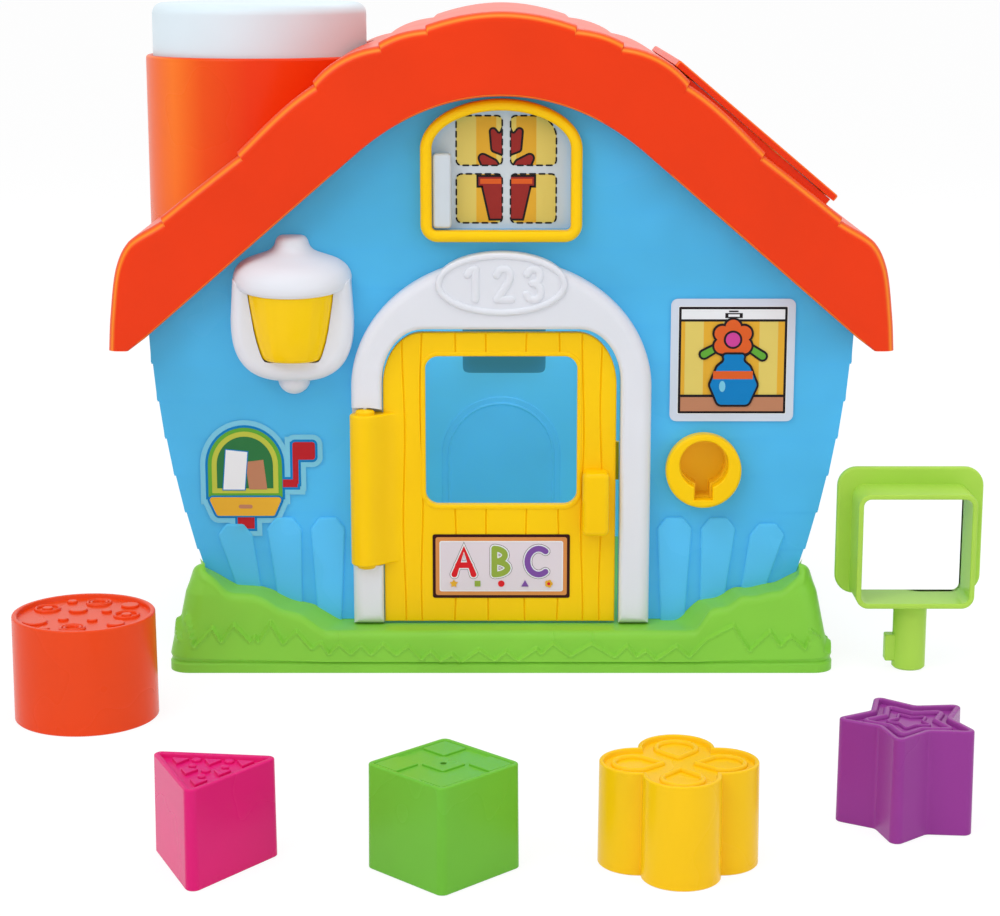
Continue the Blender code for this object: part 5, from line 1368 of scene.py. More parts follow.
def build_base(finish):
    stations = perimeter(*BASE_COLUMNS)
    crest = face_points(stations, np.full(len(stations), HILL_Z - BASE_TOP_EDGE))
    top = np.minimum(heights_on(hill_line(), crest[:, 0]), heights_on(side_hill_line(), crest[:, 1]))
    inside = (BASE_HALF - BASE_WALL, BASE_HALF_DEPTH - BASE_WALL)
    zero = np.zeros(len(stations))
    rings = [ring_points(stations, *inside, BASE_CORNER / 2, z) for z in (BASE_CEILING, 0.0)]
    rings += [face_points(stations, zero + z) for z in (0.0, FOOT_RIM - FOOT_STEP, FOOT_RIM)]
    for i in range(1, BASE_ROWS + 1):
        z = FOOT_RIM + (top - BASE_TOP_EDGE - FOOT_RIM) * i / BASE_ROWS
        points = face_points(stations, z)
        fade = min(i / GRASS_FADE_ROWS, 1)
        points[:, :2] += stations[:, 2:] * (grass_relief(stations, points) * fade)[:, None]
        rings.append(points)
    shoulder = rings[-1]
    for turn in quarter_turns(EDGE_STEPS * 2)[1:]:
        points = shoulder.copy()
        points[:, :2] -= stations[:, 2:] * BASE_TOP_EDGE * (1 - math.cos(turn))
        points[:, 2] += BASE_TOP_EDGE * math.sin(turn)
        rings.append(points)
    for z in (top, zero + FLOOR_Z):
        rings.append(ring_points(stations, wall_half(z) + LAP + FINE, -MOUNT_Y, FINE, z))
    body = loft([[tuple(point) for point in ring] for ring in rings])
    piece("grass_base", body, finish["grass_green"], "house", ["base_tray"])


# Walls


def doorway_outline(half, foot, top, corner):
    right = arc((half - corner[0], top - corner[1]), corner, 0, 90, 12)
    left = arc((-half + corner[0], top - corner[1]), corner, 90, 180, 12)
    return [(-half, foot), (half, foot)] + right + left


def window_outline(inset, corner):
    half = WINDOW_HALF - inset
    top = WINDOW_TOP - inset
    crown = arc((0, WINDOW_SPRING), (half, top - WINDOW_SPRING), 0, 180, ROUND_STEPS // 2)
    low = WINDOW_LOW + inset
    points = [(-half, WINDOW_SPRING), (-half, low), (half, low), (half, WINDOW_SPRING)]
    foot = filleted(points, (0, corner, corner, 0), 8)
    return foot[1:-1] + crown


def gable_outline():
    """The front and rear walls' outline, under the roof's skin, with the boards' ends at its sides."""
    under = ROOF_SKIN + SHINGLE_STEP + FINE
    right = []
    for point, normal, _ in roof_stations():
        inner = point - normal * under
        if inner.x < ROOF_HALF * GABLE_REACH_SHARE:
            right.append((inner.x, inner.y))
    side = lapped(wall_half, 1, LAP, FRAME_FOOT, SHOULDER_Z)
    right = right + side[::-1]
    return [(-x, z) for x, z in right[::-1] if x > 0] + right


def gable_wall(front):
    """The front or rear wall: a lapped slab kept to the gable's outline."""
    sign = 1 if front else -1
    outer = lapped(lambda z: sign * FACE_Y, -sign, LAP_RELIEF, FRAME_FOOT - OVER, RIDGE_Z)
    inner = [(sign * WALL_BACK_Y, RIDGE_Z), (sign * WALL_BACK_Y, FRAME_FOOT - OVER)]
    low, high = sorted((sign * (CREST_Y - OVER), sign * (WALL_BACK_Y + OVER)))
    slab = prism(outer + inner, -ROOF_HALF, ROOF_HALF, "X")
    return keep(slab, prism(gable_outline(), low, high))


def build_front_wall(finish):
    wall = gable_wall(True)
    low, high = MOUNT_Y - OVER, WALL_BACK_Y + OVER
    wall = cut(wall, prism(doorway_outline(DOORWAY_HALF, 0, DOORWAY_TOP, DOORWAY_CORNER), low, high))
    wall = cut(wall, prism(window_outline(WINDOW_BAR, WINDOW_INNER_CORNER), low, high))
    wall = cut(wall, prism(circle(LOCK, RING_R - FRAME_LIP), low, high))
    lens_middle = (LAMP_X, (LENS_TOP_Z + LENS_FOOT_Z) / 2)
    wall = cut(wall, prism(circle(lens_middle, LAMP_NUB_R), low, high))
    piece("front_siding", wall, finish["wall_blue"], "house", ["front_wall"])
    build_pickets(finish)


def build_pickets(finish):
    line = hill_line()
    bodies = []
    for side in (-1, 1):
        for x, top, lean in PICKETS:
            foot = min(heights_at(line, side * (x - lean)), top) - PICKET_SINK
            outline = picket_outline(side, x, top, lean, foot)
            bodies.append(solid(outline, CREST_Y - PICKET_PROUD, CREST_Y + FINE, PICKET_PROUD * EDGE_SHARE))
    piece("pickets", together(*bodies), finish["picket_blue"], "house")


def picket_outline(side, x, top, lean, foot):
    """A picket's outline on the left or right side: it leans and widens upwards to a blunt point."""
    half = PICKET_WIDTH / 2
    point = half * PICKET_TOP_SHARE
    foot_half = half * PICKET_FOOT_SHARE
    outline = [
        (side * (x - lean - foot_half), foot),
        (side * (x - lean + foot_half), foot),
        (side * (x + half), top - PICKET_POINT),
        (side * (x + point), top),
        (side * (x - point), top),
        (side * (x - half), top - PICKET_POINT),
    ]
    radii = (0.0,) * 2 + (PICKET_ROUND,) * 4
    if side < 0:
        outline, radii = outline[::-1], radii[::-1]
    return filleted(outline, radii)


def build_rear_wall(finish):
    wall = gable_wall(False)
    crown = arc((0, REAR_ARCH_Z - REAR_ARCH_HALF), (REAR_ARCH_HALF, REAR_ARCH_HALF), 0, 180, 32)
    outline = [(-REAR_ARCH_HALF, FRAME_FOOT + OVER), (REAR_ARCH_HALF, FRAME_FOOT + OVER)] + crown
    inner = -WALL_BACK_Y
    arch = solid(outline, inner - RELIEF, inner + OVER, RELIEF * EDGE_SHARE)
    ring = band(grown(outline, -REAR_ARCH_HALF * REAR_RING_SHARE), RELIEF, RELIEF, inner - RELIEF)
    piece("rear_siding", together(wall, arch, ring), finish["rear_blue"], "house", ["rear_wall"])


# Door frame


def frame_outline():
    crown = arc((0, FRAME_SPRING_Z), (FRAME_HALF, FRAME_TOP - FRAME_SPRING_Z), 0, 180, ROUND_STEPS)
    return [(-FRAME_HALF, FRAME_FOOT), (FRAME_HALF, FRAME_FOOT)] + crown


def build_door_frame(finish):
    body = solid(frame_outline(), FRAME_FRONT_Y, MOUNT_Y, FRAME_EDGE)
    plate = ellipse((0, PLAQUE_Z), (PLAQUE_HALF - FINE, PLAQUE_RISE - FINE))
    body = join(body, solid(plate, FRAME_FRONT_Y - FINE, MOUNT_Y, OVER))
    doorway = doorway_outline(DOORWAY_HALF, FRAME_FOOT - OVER * 4, DOORWAY_TOP, DOORWAY_CORNER)
    body = cut(body, layered(doorway, lip_levels(FRAME_FRONT_Y, MOUNT_Y, FRAME_LIP)))
    body = cut(body, prism(hinge_gap_outline(), FRAME_FRONT_Y - OVER * 4, MOUNT_Y - OVER))
    rim = ellipse((0, PLAQUE_Z), (PLAQUE_HALF - PLAQUE_RIM / 2, PLAQUE_RISE - PLAQUE_RIM / 2))
    ring = band(rim, PLAQUE_RIM / 2, PLAQUE_PROUD, FRAME_FRONT_Y - FINE)
    whole = together(body, ring, *numerals())
    piece("arched_door_frame", whole, finish["frame_white"], "house", ["door_frame"])
    build_hinge_pin(finish)


def hinge_gap_outline():
    """The gap in the frame's left leg that the door's barrel turns in, its top end arched."""
    x, half = HINGE[0], HINGE_HALF_WIDTH * HINGE_GAP_SHARE
    end = arc((x, UPPER_KNUCKLE_Z), (half, HINGE_ARCH), 0, 180, 12)
    return [(x - half, LOWER_KNUCKLE_Z), (x + half, LOWER_KNUCKLE_Z)] + end


def numerals():
    """The numbers 1 2 3 as rounded raised strokes on the plaque."""
    bodies = []
    for i, lines in enumerate(NUMERAL_SHARES):
        middle = NUMERAL_SHIFT + NUMERAL_PITCH * (i - 1)
        for line, steps in lines:
            line = smooth_line(line, steps) if steps else line
            points = [(middle + a * NUMERAL_WIDE, PLAQUE_Z + b * NUMERAL_HALF_TALL) for a, b in line]
            bodies.append(rib(points, NUMERAL_STROKE, NUMERAL_PROUD, FRAME_FRONT_Y - FINE))
    return bodies


def build_hinge_pin(finish):
    """The pin's yellow ends, which show at the door's barrel, and the thin rod inside it."""
    bodies = []
    for z, rise in ((UPPER_KNUCKLE_Z, PIN_RISE), (LOWER_KNUCKLE_Z, -PIN_RISE)):
        profile = [(PIN_DOME * a, z + rise * b) for a, b in PIN_SHARES]
        bodies.append(turned(profile, HINGE, steps=32))
    piece("hinge_ends", together(*bodies), finish["yellow"], "door")
    rod = rod_profile(PIN_CORE_R, FRAME_FOOT + PIN_FOOT, UPPER_KNUCKLE_Z + PIN_HEAD)
    piece("hinge_rod", turned(rod, HINGE, steps=24), finish["steel"], "house", ["hinge_pin"])


# Door


def build_door(finish):
    corner = DOOR_CORNER
    right = arc((DOOR_RIGHT - corner[0], DOOR_TOP - corner[1]), corner, 0, 90, 14)
    left = arc((DOOR_LEFT + corner[0], DOOR_TOP - corner[1]), corner, 90, 180, 14)
    outline = [(DOOR_LEFT, DOOR_FOOT), (DOOR_RIGHT, DOOR_FOOT)] + right + left
    door = cut(solid(outline, DOOR_FRONT_Y, DOOR_BACK_Y, EDGE), plank_grooves())
    pane = filleted(rectangle((-PANE_HALF, PANE_LOW), (PANE_HALF, PANE_HIGH)), PANE_CORNER, 10)
    door = cut(door, layered(pane, lip_levels(DOOR_FRONT_Y, DOOR_BACK_Y, EDGE)))
    rim = band(grown(pane, PANE_RIM), PANE_RIM, PANE_RIM * 0.5, DOOR_FRONT_Y)
    low, high = LOWER_KNUCKLE_Z + HINGE_GAP, UPPER_KNUCKLE_Z - HINGE_GAP
    barrel = solid(barrel_section(), high, low, OVER, OVER, axis="Z")
    whole = together(door, rim, barrel, door_handle(), door_hook())
    piece("plank_door", whole, finish["yellow"], "door", ["door"])


def plank_grooves():
    """Cutters for the wavy grooves between the door's planks, narrow at the bottom."""
    grooves = []
    heights = np.linspace(DOOR_FOOT - OVER, DOOR_TOP + OVER, GROOVE_STEPS)
    for i, share in enumerate(GROOVE_SHARES):
        x = share * DOORWAY_HALF
        line = [(x + GROOVE_WAVE * math.sin(z * GROOVE_TURNS + i * GROOVE_PHASE), z) for z in heights]
        rings = []
        for half, y in ((GROOVE, -OVER), (GROOVE / 2, 0.0), (GROOVE / 20, GROOVE_DEEP)):
            near = [(a - half, DOOR_FRONT_Y + y, z) for a, z in line]
            far = [(a + half, DOOR_FRONT_Y + y, z) for a, z in line]
            rings.append(near + far[::-1])
        grooves.append(loft(rings))
    return together(*grooves)


def door_handle():
    half = HANDLE_WIDTH / 2
    plate = rectangle((HANDLE_X - half, HANDLE_LOW), (HANDLE_X + half, HANDLE_HIGH))
    grip = filleted(plate, HANDLE_CORNER, 6)
    return solid(grip, DOOR_FRONT_Y - HANDLE_PROUD, DOOR_FRONT_Y + FINE, HANDLE_EDGE)


def door_hook():
    """The hook behind the door that the bolt holds, drawn from above."""
    near, arm, tip = HOOK_X
    neck, end = HOOK_Y
    outline = [(near, DOOR_BACK_Y), (arm, DOOR_BACK_Y), (arm, neck), (tip, neck), (tip, end), (near, end)]
    return prism(outline, LOCK[1] - HOOK_HALF_TALL, LOCK[1] + HOOK_HALF_TALL, "Z")


def barrel_section():
    """The hinge barrel seen from above: round at the pin, easing into the door's face."""
    x, y = HINGE
    line = arc(HINGE, (HINGE_R, HINGE_R), 270, 90, 24)[::-1]
    for i in range(1, EASE_STEPS + 1):
        share = i / EASE_STEPS
        fall = share * share * (3 - 2 * share)
        line.append((x + BARREL_EASE * share, (y - HINGE_R) + (DOOR_FRONT_Y - y + HINGE_R) * fall))
    return line + [(x + BARREL_EASE, DOOR_BACK_Y - FINE)]


# Lock


def keyhole_outline(grow):
    """A round hole with a slot for the key's bit at its foot."""
    radius = KEYHOLE_R + grow
    half = KEY_SLOT_HALF + grow
    side = math.degrees(math.asin(half / radius))
    low = LOCK[1] - KEY_SLOT_DROP - grow
    round_part = arc((LOCK[0], LOCK[1] + KEYHOLE_RISE), (radius, radius), -90 + side, 270 - side, 64)
    return round_part + [(LOCK[0] - half, low), (LOCK[0] + half, low)]


def build_lock(finish):
    front = MOUNT_Y - RING_PROUD
    ring = solid(circle(LOCK, RING_R), front, MOUNT_Y, EDGE * 2)
    ring = cut(ring, layered(keyhole_outline(0), lip_levels(front, MOUNT_Y, EDGE)))
    piece("keyhole_surround", ring, finish["yellow"], "house", ["keyhole_ring"])


# Upper window


def build_window(finish):
    front = MOUNT_Y - WINDOW_PROUD
    body = solid(window_outline(0, WINDOW_CORNER), front, MOUNT_Y, WINDOW_BAR / 2)
    hole = window_outline(WINDOW_BAR, WINDOW_INNER_CORNER)
    body = cut(body, layered(hole, lip_levels(front, MOUNT_Y, WINDOW_BAR * WINDOW_LIP_SHARE)))
    piece("arched_window_frame", body, finish["yellow"], "house", ["window_frame"])
    build_shutter(finish)


def build_shutter(finish):
    corner = (SHUTTER_HALF - SHUTTER_CORNER, SHUTTER_HIGH - SHUTTER_CORNER)
    crown = arc(corner, (SHUTTER_CORNER, SHUTTER_CORNER), 0, 90, 12)
    outline = [(-SHUTTER_HALF, SHUTTER_LOW), (SHUTTER_HALF, SHUTTER_LOW)]
    outline += crown + [(-SHUTTER_HALF, SHUTTER_HIGH)]
    plate = solid(outline, SHUTTER_FRONT_Y, SHUTTER_BACK_Y, FINE)
    bar = filleted(rectangle((GRAB_LOW_X, GRAB_LOW), (GRAB_LOW_X + GRAB_WIDTH, GRAB_HIGH)), GRAB_CORNER, 6)
    grab = solid(bar, WALL_BACK_Y - GRAB_PROUD, SHUTTER_FRONT_Y + FINE, GRAB_EDGE)
    whole = together(plate, grab)
    piece("shutter", whole, finish["shutter_white"], "window_shutter", ["window_shutter"])


# Lamp


def lamp_outline():
    """The lamp's plate: straight at the top and round below its waist."""
    waist = LAMP_LOW + LAMP_WAIST
    points = []
    for i in range(ROUND_STEPS // 2 + 1):
        turn = math.pi * i / (ROUND_STEPS // 2)
        along, down = math.cos(turn), math.sin(turn)
        x = LAMP_HALF * math.copysign(abs(along) ** LAMP_ROUND_SHARE, along)
        points.append((LAMP_X + x, waist - LAMP_WAIST * abs(down) ** LAMP_ROUND_SHARE))
    half = LAMP_HALF * LAMP_BROW_SHARE
    return points + [(LAMP_X - half, LAMP_BROW_Z), (LAMP_X + half, LAMP_BROW_Z)]


def lens_profile(grow):
    tall = LENS_TOP_Z - LENS_FOOT_Z
    points = []
    for radius, rise in LENS_SHARES:
        size = 0 if radius == 0 else LENS_R * radius + grow
        points.append((size, LENS_FOOT_Z + tall * rise + (grow if rise > 0.5 else -grow)))
    return points


def lens_ridges(turn):
    """Two soft upright ridges on the lens."""
    size = 1.0
    for side in (-1, 1):
        away = math.degrees(turn) - (270 + side * LENS_RIDGE_DEG)
        size += LENS_RIDGE_SHARE * math.exp(-((away / LENS_RIDGE_WIDE_DEG) ** 2))
    return size


def build_lamp(finish):
    housing = join(solid(lamp_outline(), MOUNT_Y - LAMP_PLATE, MOUNT_Y, LAMP_EDGE), lamp_bell())
    housing = join(housing, lamp_tail())
    spot = (LAMP_X, LENS_BACK_Y)
    housing = cut(housing, front_of(turned(lens_profile(LENS_CLEAR), spot), LENS_BACK_Y))
    housing = cut(housing, prism(lens_well(), LENS_BACK_Y - FINE, LENS_BACK_Y + LENS_TRAVEL))
    white = finish["frame_white"]
    piece("lamp_bell_housing", housing, white, "house", ["lamp_housing"], LAMP_SHARP_DEG)
    lens = turned(lens_profile(0), spot, steps=ROUND_STEPS * 2, shape=lens_ridges)
    lens = front_of(lens, LENS_BACK_Y)
    piece("lens_button", lens, finish["lens_yellow"], "lamp_lens", ["lamp_lens"], LAMP_SHARP_DEG)


def lamp_bell():
    """The lamp's bell with its knob, which leans forward from the wall."""
    profile = [(BELL_R * a, LAMP_TOP - BELL_DROP * b) for a, b in BELL_SHARES]
    profile = [profile[0]] + smooth_line(profile[1:-1], 3) + [profile[-1]]
    lean = Matrix.Identity(4)
    lean[2][1] = BELL_LEAN
    lean = Matrix.Translation((0, MOUNT_Y, 0)) @ lean @ Matrix.Translation((0, -MOUNT_Y, 0))
    return moved(front_of(turned(profile, (LAMP_X, MOUNT_Y)), MOUNT_Y), lean)


def lamp_tail():
    """The round nub under the lamp."""
    tail = [(0, LAMP_LOW + LAMP_NUB_R), (LAMP_NUB_R, LAMP_LOW + LAMP_NUB_R)]
    tail += arc((0, LAMP_LOW), (LAMP_NUB_R, LAMP_TAIL), 0, -90, 10)[:-1] + [(0, LAMP_LOW - LAMP_TAIL)]
    return front_of(turned(tail, (LAMP_X, MOUNT_Y), steps=48), MOUNT_Y)


def lens_well():
    """The outline of the room behind the lens, which it presses into."""
    half_foot = LENS_R * LENS_SHARES[4][0] + LENS_CLEAR
    half_top = LENS_R + LENS_CLEAR
    low, high = LENS_FOOT_Z - LENS_CLEAR, LENS_TOP_Z + LENS_CLEAR
    foot = [(LAMP_X - half_foot, low), (LAMP_X + half_foot, low)]
    return foot + [(LAMP_X + half_top, high), (LAMP_X - half_top, high)]


# Roof and chimney


def build_roof(finish):
    roof = cut(roof_body(), moved(lid_opening(), slope_frame()))
    roof = cut(roof, prism(circle(CHIMNEY, TUBE_R + FINE), TUBE_SEAT, RIDGE_Z + OVER, "Z"))
    piece("shingled_roof", roof, finish["roof_orange"], "house", ["roof_shell"])
    build_curb(finish)


def roof_body():
    """The whole roof, from its right half's stations and their mirror."""
    right = roof_stations()
    under = spread(roof_underside()[::-1], len(right))
    stations = [(*station, low) for station, low in zip(right, under)]
    mirror = []
    for point, normal, drop, low in stations[:0:-1]:
        point, normal, low = (Vector((-item.x, item.y)) for item in (point, normal, low))
        mirror.append((point, normal, drop, low))
    roof = loft([roof_section(*station) for station in mirror + stations])
    for side in (-1, 1):
        for y in (side * ROOF_DEPTH / 2, side * (ROOF_DEPTH / 2 - FASCIA)):
            flat = [face for face in roof.faces if lies_at(face, y)]
            bmesh.ops.dissolve_faces(roof, faces=flat)
    return roof


def lies_at(face, y):
    """Whether a face lies in a plane across the depth."""
    return all(abs(vert.co.y - y) < FINE / 100 for vert in face.verts)


def curb_corners(inset):
    """Low and high corners of the lid's seat, moved inwards by an inset."""
    depth = LID_HALF - CURB_END_GAP - inset
    return (CURB_START + inset, -depth), (lid_length() - CURB_END_GAP - inset, depth)


def lid_opening():
    return prism(rectangle(*curb_corners(CURB)), -LID_OPENING, OVER * 8, "Z")


def roof_section(point, normal, drop, low):
    """The roof's closed section at one place along it: fascias at both ends and a skin between them."""
    half = ROOF_DEPTH / 2
    top = point - normal * drop
    down = (low - top).normalized()
    skin = point - normal * (SHINGLE_STEP + ROOF_SKIN)
    ring = []
    for i in range(EDGE_STEPS + 3):
        turn = math.radians(90 * (1 - i / (EDGE_STEPS + 2)))
        spot = top - normal * ROOF_EDGE * (1 - math.sin(turn))
        ring.append((spot.x, -half + ROOF_EDGE * (1 - math.cos(turn)), spot.y))
    for i in range(EDGE_STEPS):
        turn = math.radians(90 * i / (EDGE_STEPS - 1))
        spot = low - down * ROOF_FOOT_EDGE * (1 - math.sin(turn))
        ring.append((spot.x, -half + ROOF_FOOT_EDGE * (1 - math.cos(turn)), spot.y))
    ring.append((low.x, -half + FASCIA, low.y))
    ring.append((skin.x, -half + FASCIA, skin.y))
    back = [(x, -y, z) for x, y, z in reversed(ring)]
    return ring + back


def slope_frame():
    """Turns (along the slope, depth, height above it) at the lid's upper edge into the model's frame."""
    top = Vector(roof_point(LID_TOP_SHARE))
    end = Vector(roof_point(LID_END_SHARE))
    slope = math.atan2(top.y - end.y, end.x - top.x)
    return Matrix.Translation((top.x, 0, top.y)) @ Matrix.Rotation(slope, 4, "Y")


def lid_length():
    return (Vector(roof_point(LID_END_SHARE)) - Vector(roof_point(LID_TOP_SHARE))).length


def build_curb(finish):
    """The raised frame under the lid."""
    top = -LID - FINE
    foot = top - CURB_DEPTH
    curb = solid(filleted(rectangle(*curb_corners(0)), OVER), top, foot, FINE, axis="Z")
    curb = cut(curb, prism(rectangle(*curb_corners(CURB)), foot - OVER, top + OVER, "Z"))
    piece("lid_curb", moved(curb, slope_frame()), finish["roof_orange"], "house")


def build_chimney(finish):
    inner = TUBE_R - TUBE_WALL
    edge = TUBE_WALL / 2
    bore = STEM_R * STEM_BORE_SHARE
    deck_top = TUBE_DECK_Z + TUBE_DECK
    profile = [(TUBE_R, TUBE_FOOT)] + arc((TUBE_R - edge, TUBE_TOP - edge), (edge, edge), 0, 180, 8)
    profile += [(inner, deck_top), (bore, deck_top), (bore, TUBE_DECK_Z), (inner, TUBE_DECK_Z)]
    profile.append((inner, TUBE_FOOT))
    rings = [[(*point, along) for point in circle(CHIMNEY, radius)] for radius, along in profile]
    far = TUBE_R + OVER
    under_roof = prism(chimney_foot(), CHIMNEY[1] - far, CHIMNEY[1] + far)
    body = cut(loft(rings, closed=True), under_roof)
    piece("chimney", body, finish["chimney_orange"], "house", ["chimney_tube"])
    build_cap(finish)


def chimney_foot():
    """The outline of the room that the left slope takes from the chimney's foot."""
    slope = []
    for point, normal, drop in reversed(roof_stations()[1:]):
        top = point - normal * drop
        if top.y - OVER < TUBE_SEAT:
            slope.append((-top.x, top.y - OVER))
    reach = CHIMNEY[0] + TUBE_R + OVER
    below = TUBE_FOOT - OVER * 2
    slope.append((slope[-1][0], TUBE_SEAT))
    return [(slope[0][0] - OVER, below)] + slope + [(reach, TUBE_SEAT), (reach, below)]


def build_cap(finish):
    inner = CAP_R - CAP_WALL
    ceiling = CAP_TOP - CAP_WALL
    shoulder = (CAP_R - CAP_EDGE, CAP_TOP - CAP_EDGE)
    profile = [(0, CAP_TOP)] + arc(shoulder, (CAP_EDGE, CAP_EDGE), 90, 0, 10)
    profile += [(CAP_R, CAP_SKIRT_Z), (inner, CAP_SKIRT_Z), (inner, ceiling), (CAP_BOSS_R, ceiling)]
    profile += [(CAP_BOSS_R, CAP_BOSS_FOOT), (STEM_R, CAP_BOSS_FOOT), (STEM_R, STEM_FOOT), (0, STEM_FOOT)]
    body = turned(profile, CHIMNEY)
    piece("press_cap", body, finish["cap_white"], "chimney_cap", ["chimney_cap"])


# Sorter lid


def build_lid(finish):
    plate = rectangle((-LID_OVER, -LID_HALF), (lid_length(), LID_HALF))
    lid = solid(filleted(plate, LID_CORNER), 0, -LID, LID_EDGE, FINE, axis="Z")
    holes = []
    for outline, centre in lid_holes():
        points = [(a + centre[0], b + centre[1]) for a, b in outline]
        holes.append(layered(points, lip_levels(0, -LID, EDGE), "Z"))
    lid = moved(cut(lid, together(*holes)), slope_frame())
    piece("sorter_panel", lid, finish["roof_orange"], "sorter_lid", ["sorter_lid"])
    reach = LID_HALF * LID_ROD_SHARE
    rod = turned(rod_profile(LID_ROD_R, -reach, reach), (0, -LID_HINGE_R), "Y", 20)
    piece("lid_rod", moved(rod, slope_frame()), finish["steel"], "house", ["lid_pin"])


def lid_holes():
    """The three holes in the lid, as outlines and centres on the slope."""
    (inside, _), (outside, edge) = curb_corners(CURB + LID_MARGIN / 2)
    round_r = ROUND_R + HOLE_CLEAR
    round_y = -edge + round_r
    cube_side = CUBE_SIDE + HOLE_CLEAR * 2
    cube_y = round_y + round_r + LID_MARGIN + cube_side / 2
    triangle_r = TRIANGLE_R + HOLE_CLEAR
    wide = triangle_r * math.cos(math.radians(30))
    deep = triangle_r * math.sin(math.radians(30))
    return (
        (circle((0, 0), round_r), ((inside + outside) / 2, round_y)),
        (cube_outline(cube_side), (inside + cube_side / 2, cube_y)),
        (triangle_outline(triangle_r), (outside - wide, edge - deep)),
    )


# Loose blocks


def triangle_outline(radius):
    return filleted(arc((0, 0), (radius, radius), -90, 270, 3)[:-1], BLOCK_CORNER, 8)


def cube_outline(side):
    return filleted(rectangle((-side / 2, -side / 2), (side / 2, side / 2)), BLOCK_CORNER, 8)


def flower_outline(reach, lobe):
    """Four round lobes that meet in notches on the axes."""
    away = reach - lobe
    notch = math.degrees(math.asin(away * math.sqrt(0.5) / lobe))
    points = []
    for quarter in range(4):
        turn = math.radians(45 + quarter * 90)
        centre = (away * math.cos(turn), away * math.sin(turn))
        points += arc(centre, (lobe, lobe), quarter * 90 - notch, quarter * 90 + 90 + notch, 24)[:-1]
    return points


def star_outline(radius, corner=BLOCK_CORNER):
    points = []
    for i in range(10):
        reach = radius if i % 2 == 0 else radius * STAR_INNER_SHARE
        turn = math.radians(90 + 36 * i)
        points.append((reach * math.cos(turn), reach * math.sin(turn)))
    return filleted(points, corner, 6)


def block_levels(tall, sink=BLOCK_SINK, rim=BLOCK_RIM):
    """Levels of a block: slightly drafted sides, a round rim and a sunken top."""
    edge = BLOCK_EDGE
    inner = -BLOCK_DRAFT - rim
    levels = [(0, -FINE), (FINE, 0.0)]
    for turn in quarter_turns():
        levels.append((tall - edge + edge * math.sin(turn), -BLOCK_DRAFT - edge * (1 - math.cos(turn))))
    for turn in quarter_turns():
        levels.append((tall - edge * (1 - math.cos(turn)), inner + edge * (1 - math.sin(turn))))
    return levels + [(tall - sink, inner - FINE)]


def stud(spot, radius, floor):
    """A low round button on a block's top."""
    edge = RELIEF_TALL * STUD_EDGE_SHARE
    return solid(circle(spot, radius, 32), floor + RELIEF_TALL, floor - FINE, edge, axis="Z")


def ringlet(spot, radius, floor):
    """A low open ring on a block's top."""
    return relief_line(circle(spot, radius - RELIEF_WIDE / 2, 40), 1, floor)


def relief_line(outline, size, floor):
    """A closed raised line on a block's top. size scales its width, and a wide line is taller too."""
    tall = RELIEF_TALL * TALL_LINE_SHARE if size > 1 else RELIEF_TALL
    return band(outline, RELIEF_WIDE / 2 * size, tall, floor, "Z", 1)


def build_block(finish, shape, parts, spot, turn_deg, tone):
    matrix = Matrix.Translation((*spot, 0)) @ Matrix.Rotation(math.radians(turn_deg), 4, "Z")
    body = moved(together(*parts), matrix)
    piece(f"{shape}_sorter", body, finish[tone], f"{shape}_block", [f"{shape}_block"])


def build_round_block(finish):
    floor = ROUND_TALL - BLOCK_SINK
    parts = [layered(circle((0, 0), ROUND_R), block_levels(ROUND_TALL), "Z")]
    for spots, ring_radii, stud_r in ROUND_RINGS:
        for spot in spots:
            parts += [ringlet(spot, radius, floor) for radius in ring_radii]
            if stud_r:
                parts.append(stud(spot, stud_r, floor))
    parts += [stud((x, y), radius, floor) for x, y, radius in ROUND_STUDS]
    parts += [stud(spot, ROUND_DOT_R, floor) for spot in ROUND_DOTS]
    build_block(finish, "round", parts, ROUND_PLACE, 0, "block_orange")


def build_triangle_block(finish):
    floor = TRIANGLE_TALL - BLOCK_SINK
    parts = [layered(triangle_outline(TRIANGLE_R), block_levels(TRIANGLE_TALL), "Z")]
    wedge_r = TRIANGLE_R * WEDGE_SHARE
    for count, rise in WEDGE_ROWS:
        for x in row_places(count):
            corners = arc((x, rise * TRIANGLE_R), (wedge_r, wedge_r), -90, 270, 3)[:-1]
            parts.append(solid(filleted(corners, FINE), floor + RELIEF_TALL, floor - FINE, FINE, axis="Z"))
        for x in row_places(count - 1):
            for shift, size in WEDGE_DOTS:
                parts.append(stud((x, (rise + shift) * TRIANGLE_R), TRIANGLE_R * size, floor))
    build_block(finish, "triangle", parts, TRIANGLE_PLACE, TRIANGLE_TURN_DEG, "block_pink")


def row_places(count):
    """Places across for a row of that many wedges or dots."""
    return [(i - (count - 1) / 2) * (TRIANGLE_R * WEDGE_PITCH_SHARE) for i in range(count)]


def build_cube_block(finish):
    floor = CUBE_TALL - OVER
    parts = [layered(cube_outline(CUBE_SIDE), block_levels(CUBE_TALL, OVER, CUBE_RIM), "Z")]
    cell = (CUBE_SIDE - BLOCK_RIM * 2) / 3
    half = cell / 2 - FINE
    for i, k in ((-1, -1), (-1, 1), (0, 0), (1, -1), (1, 1)):
        corners = rectangle((i * cell - half, k * cell - half), (i * cell + half, k * cell + half))
        tile = solid(filleted(corners, FINE * 2), CUBE_TALL - FINE, floor - FINE, FINE, axis="Z")
        if i == k == 0:
            tile = cut(tile, prism(circle((0, 0), CUBE_PIP_R, 24), floor, CUBE_TALL, "Z"))
        parts.append(tile)
    build_block(finish, "cube", parts, CUBE_PLACE, CUBE_TURN_DEG, "block_green")


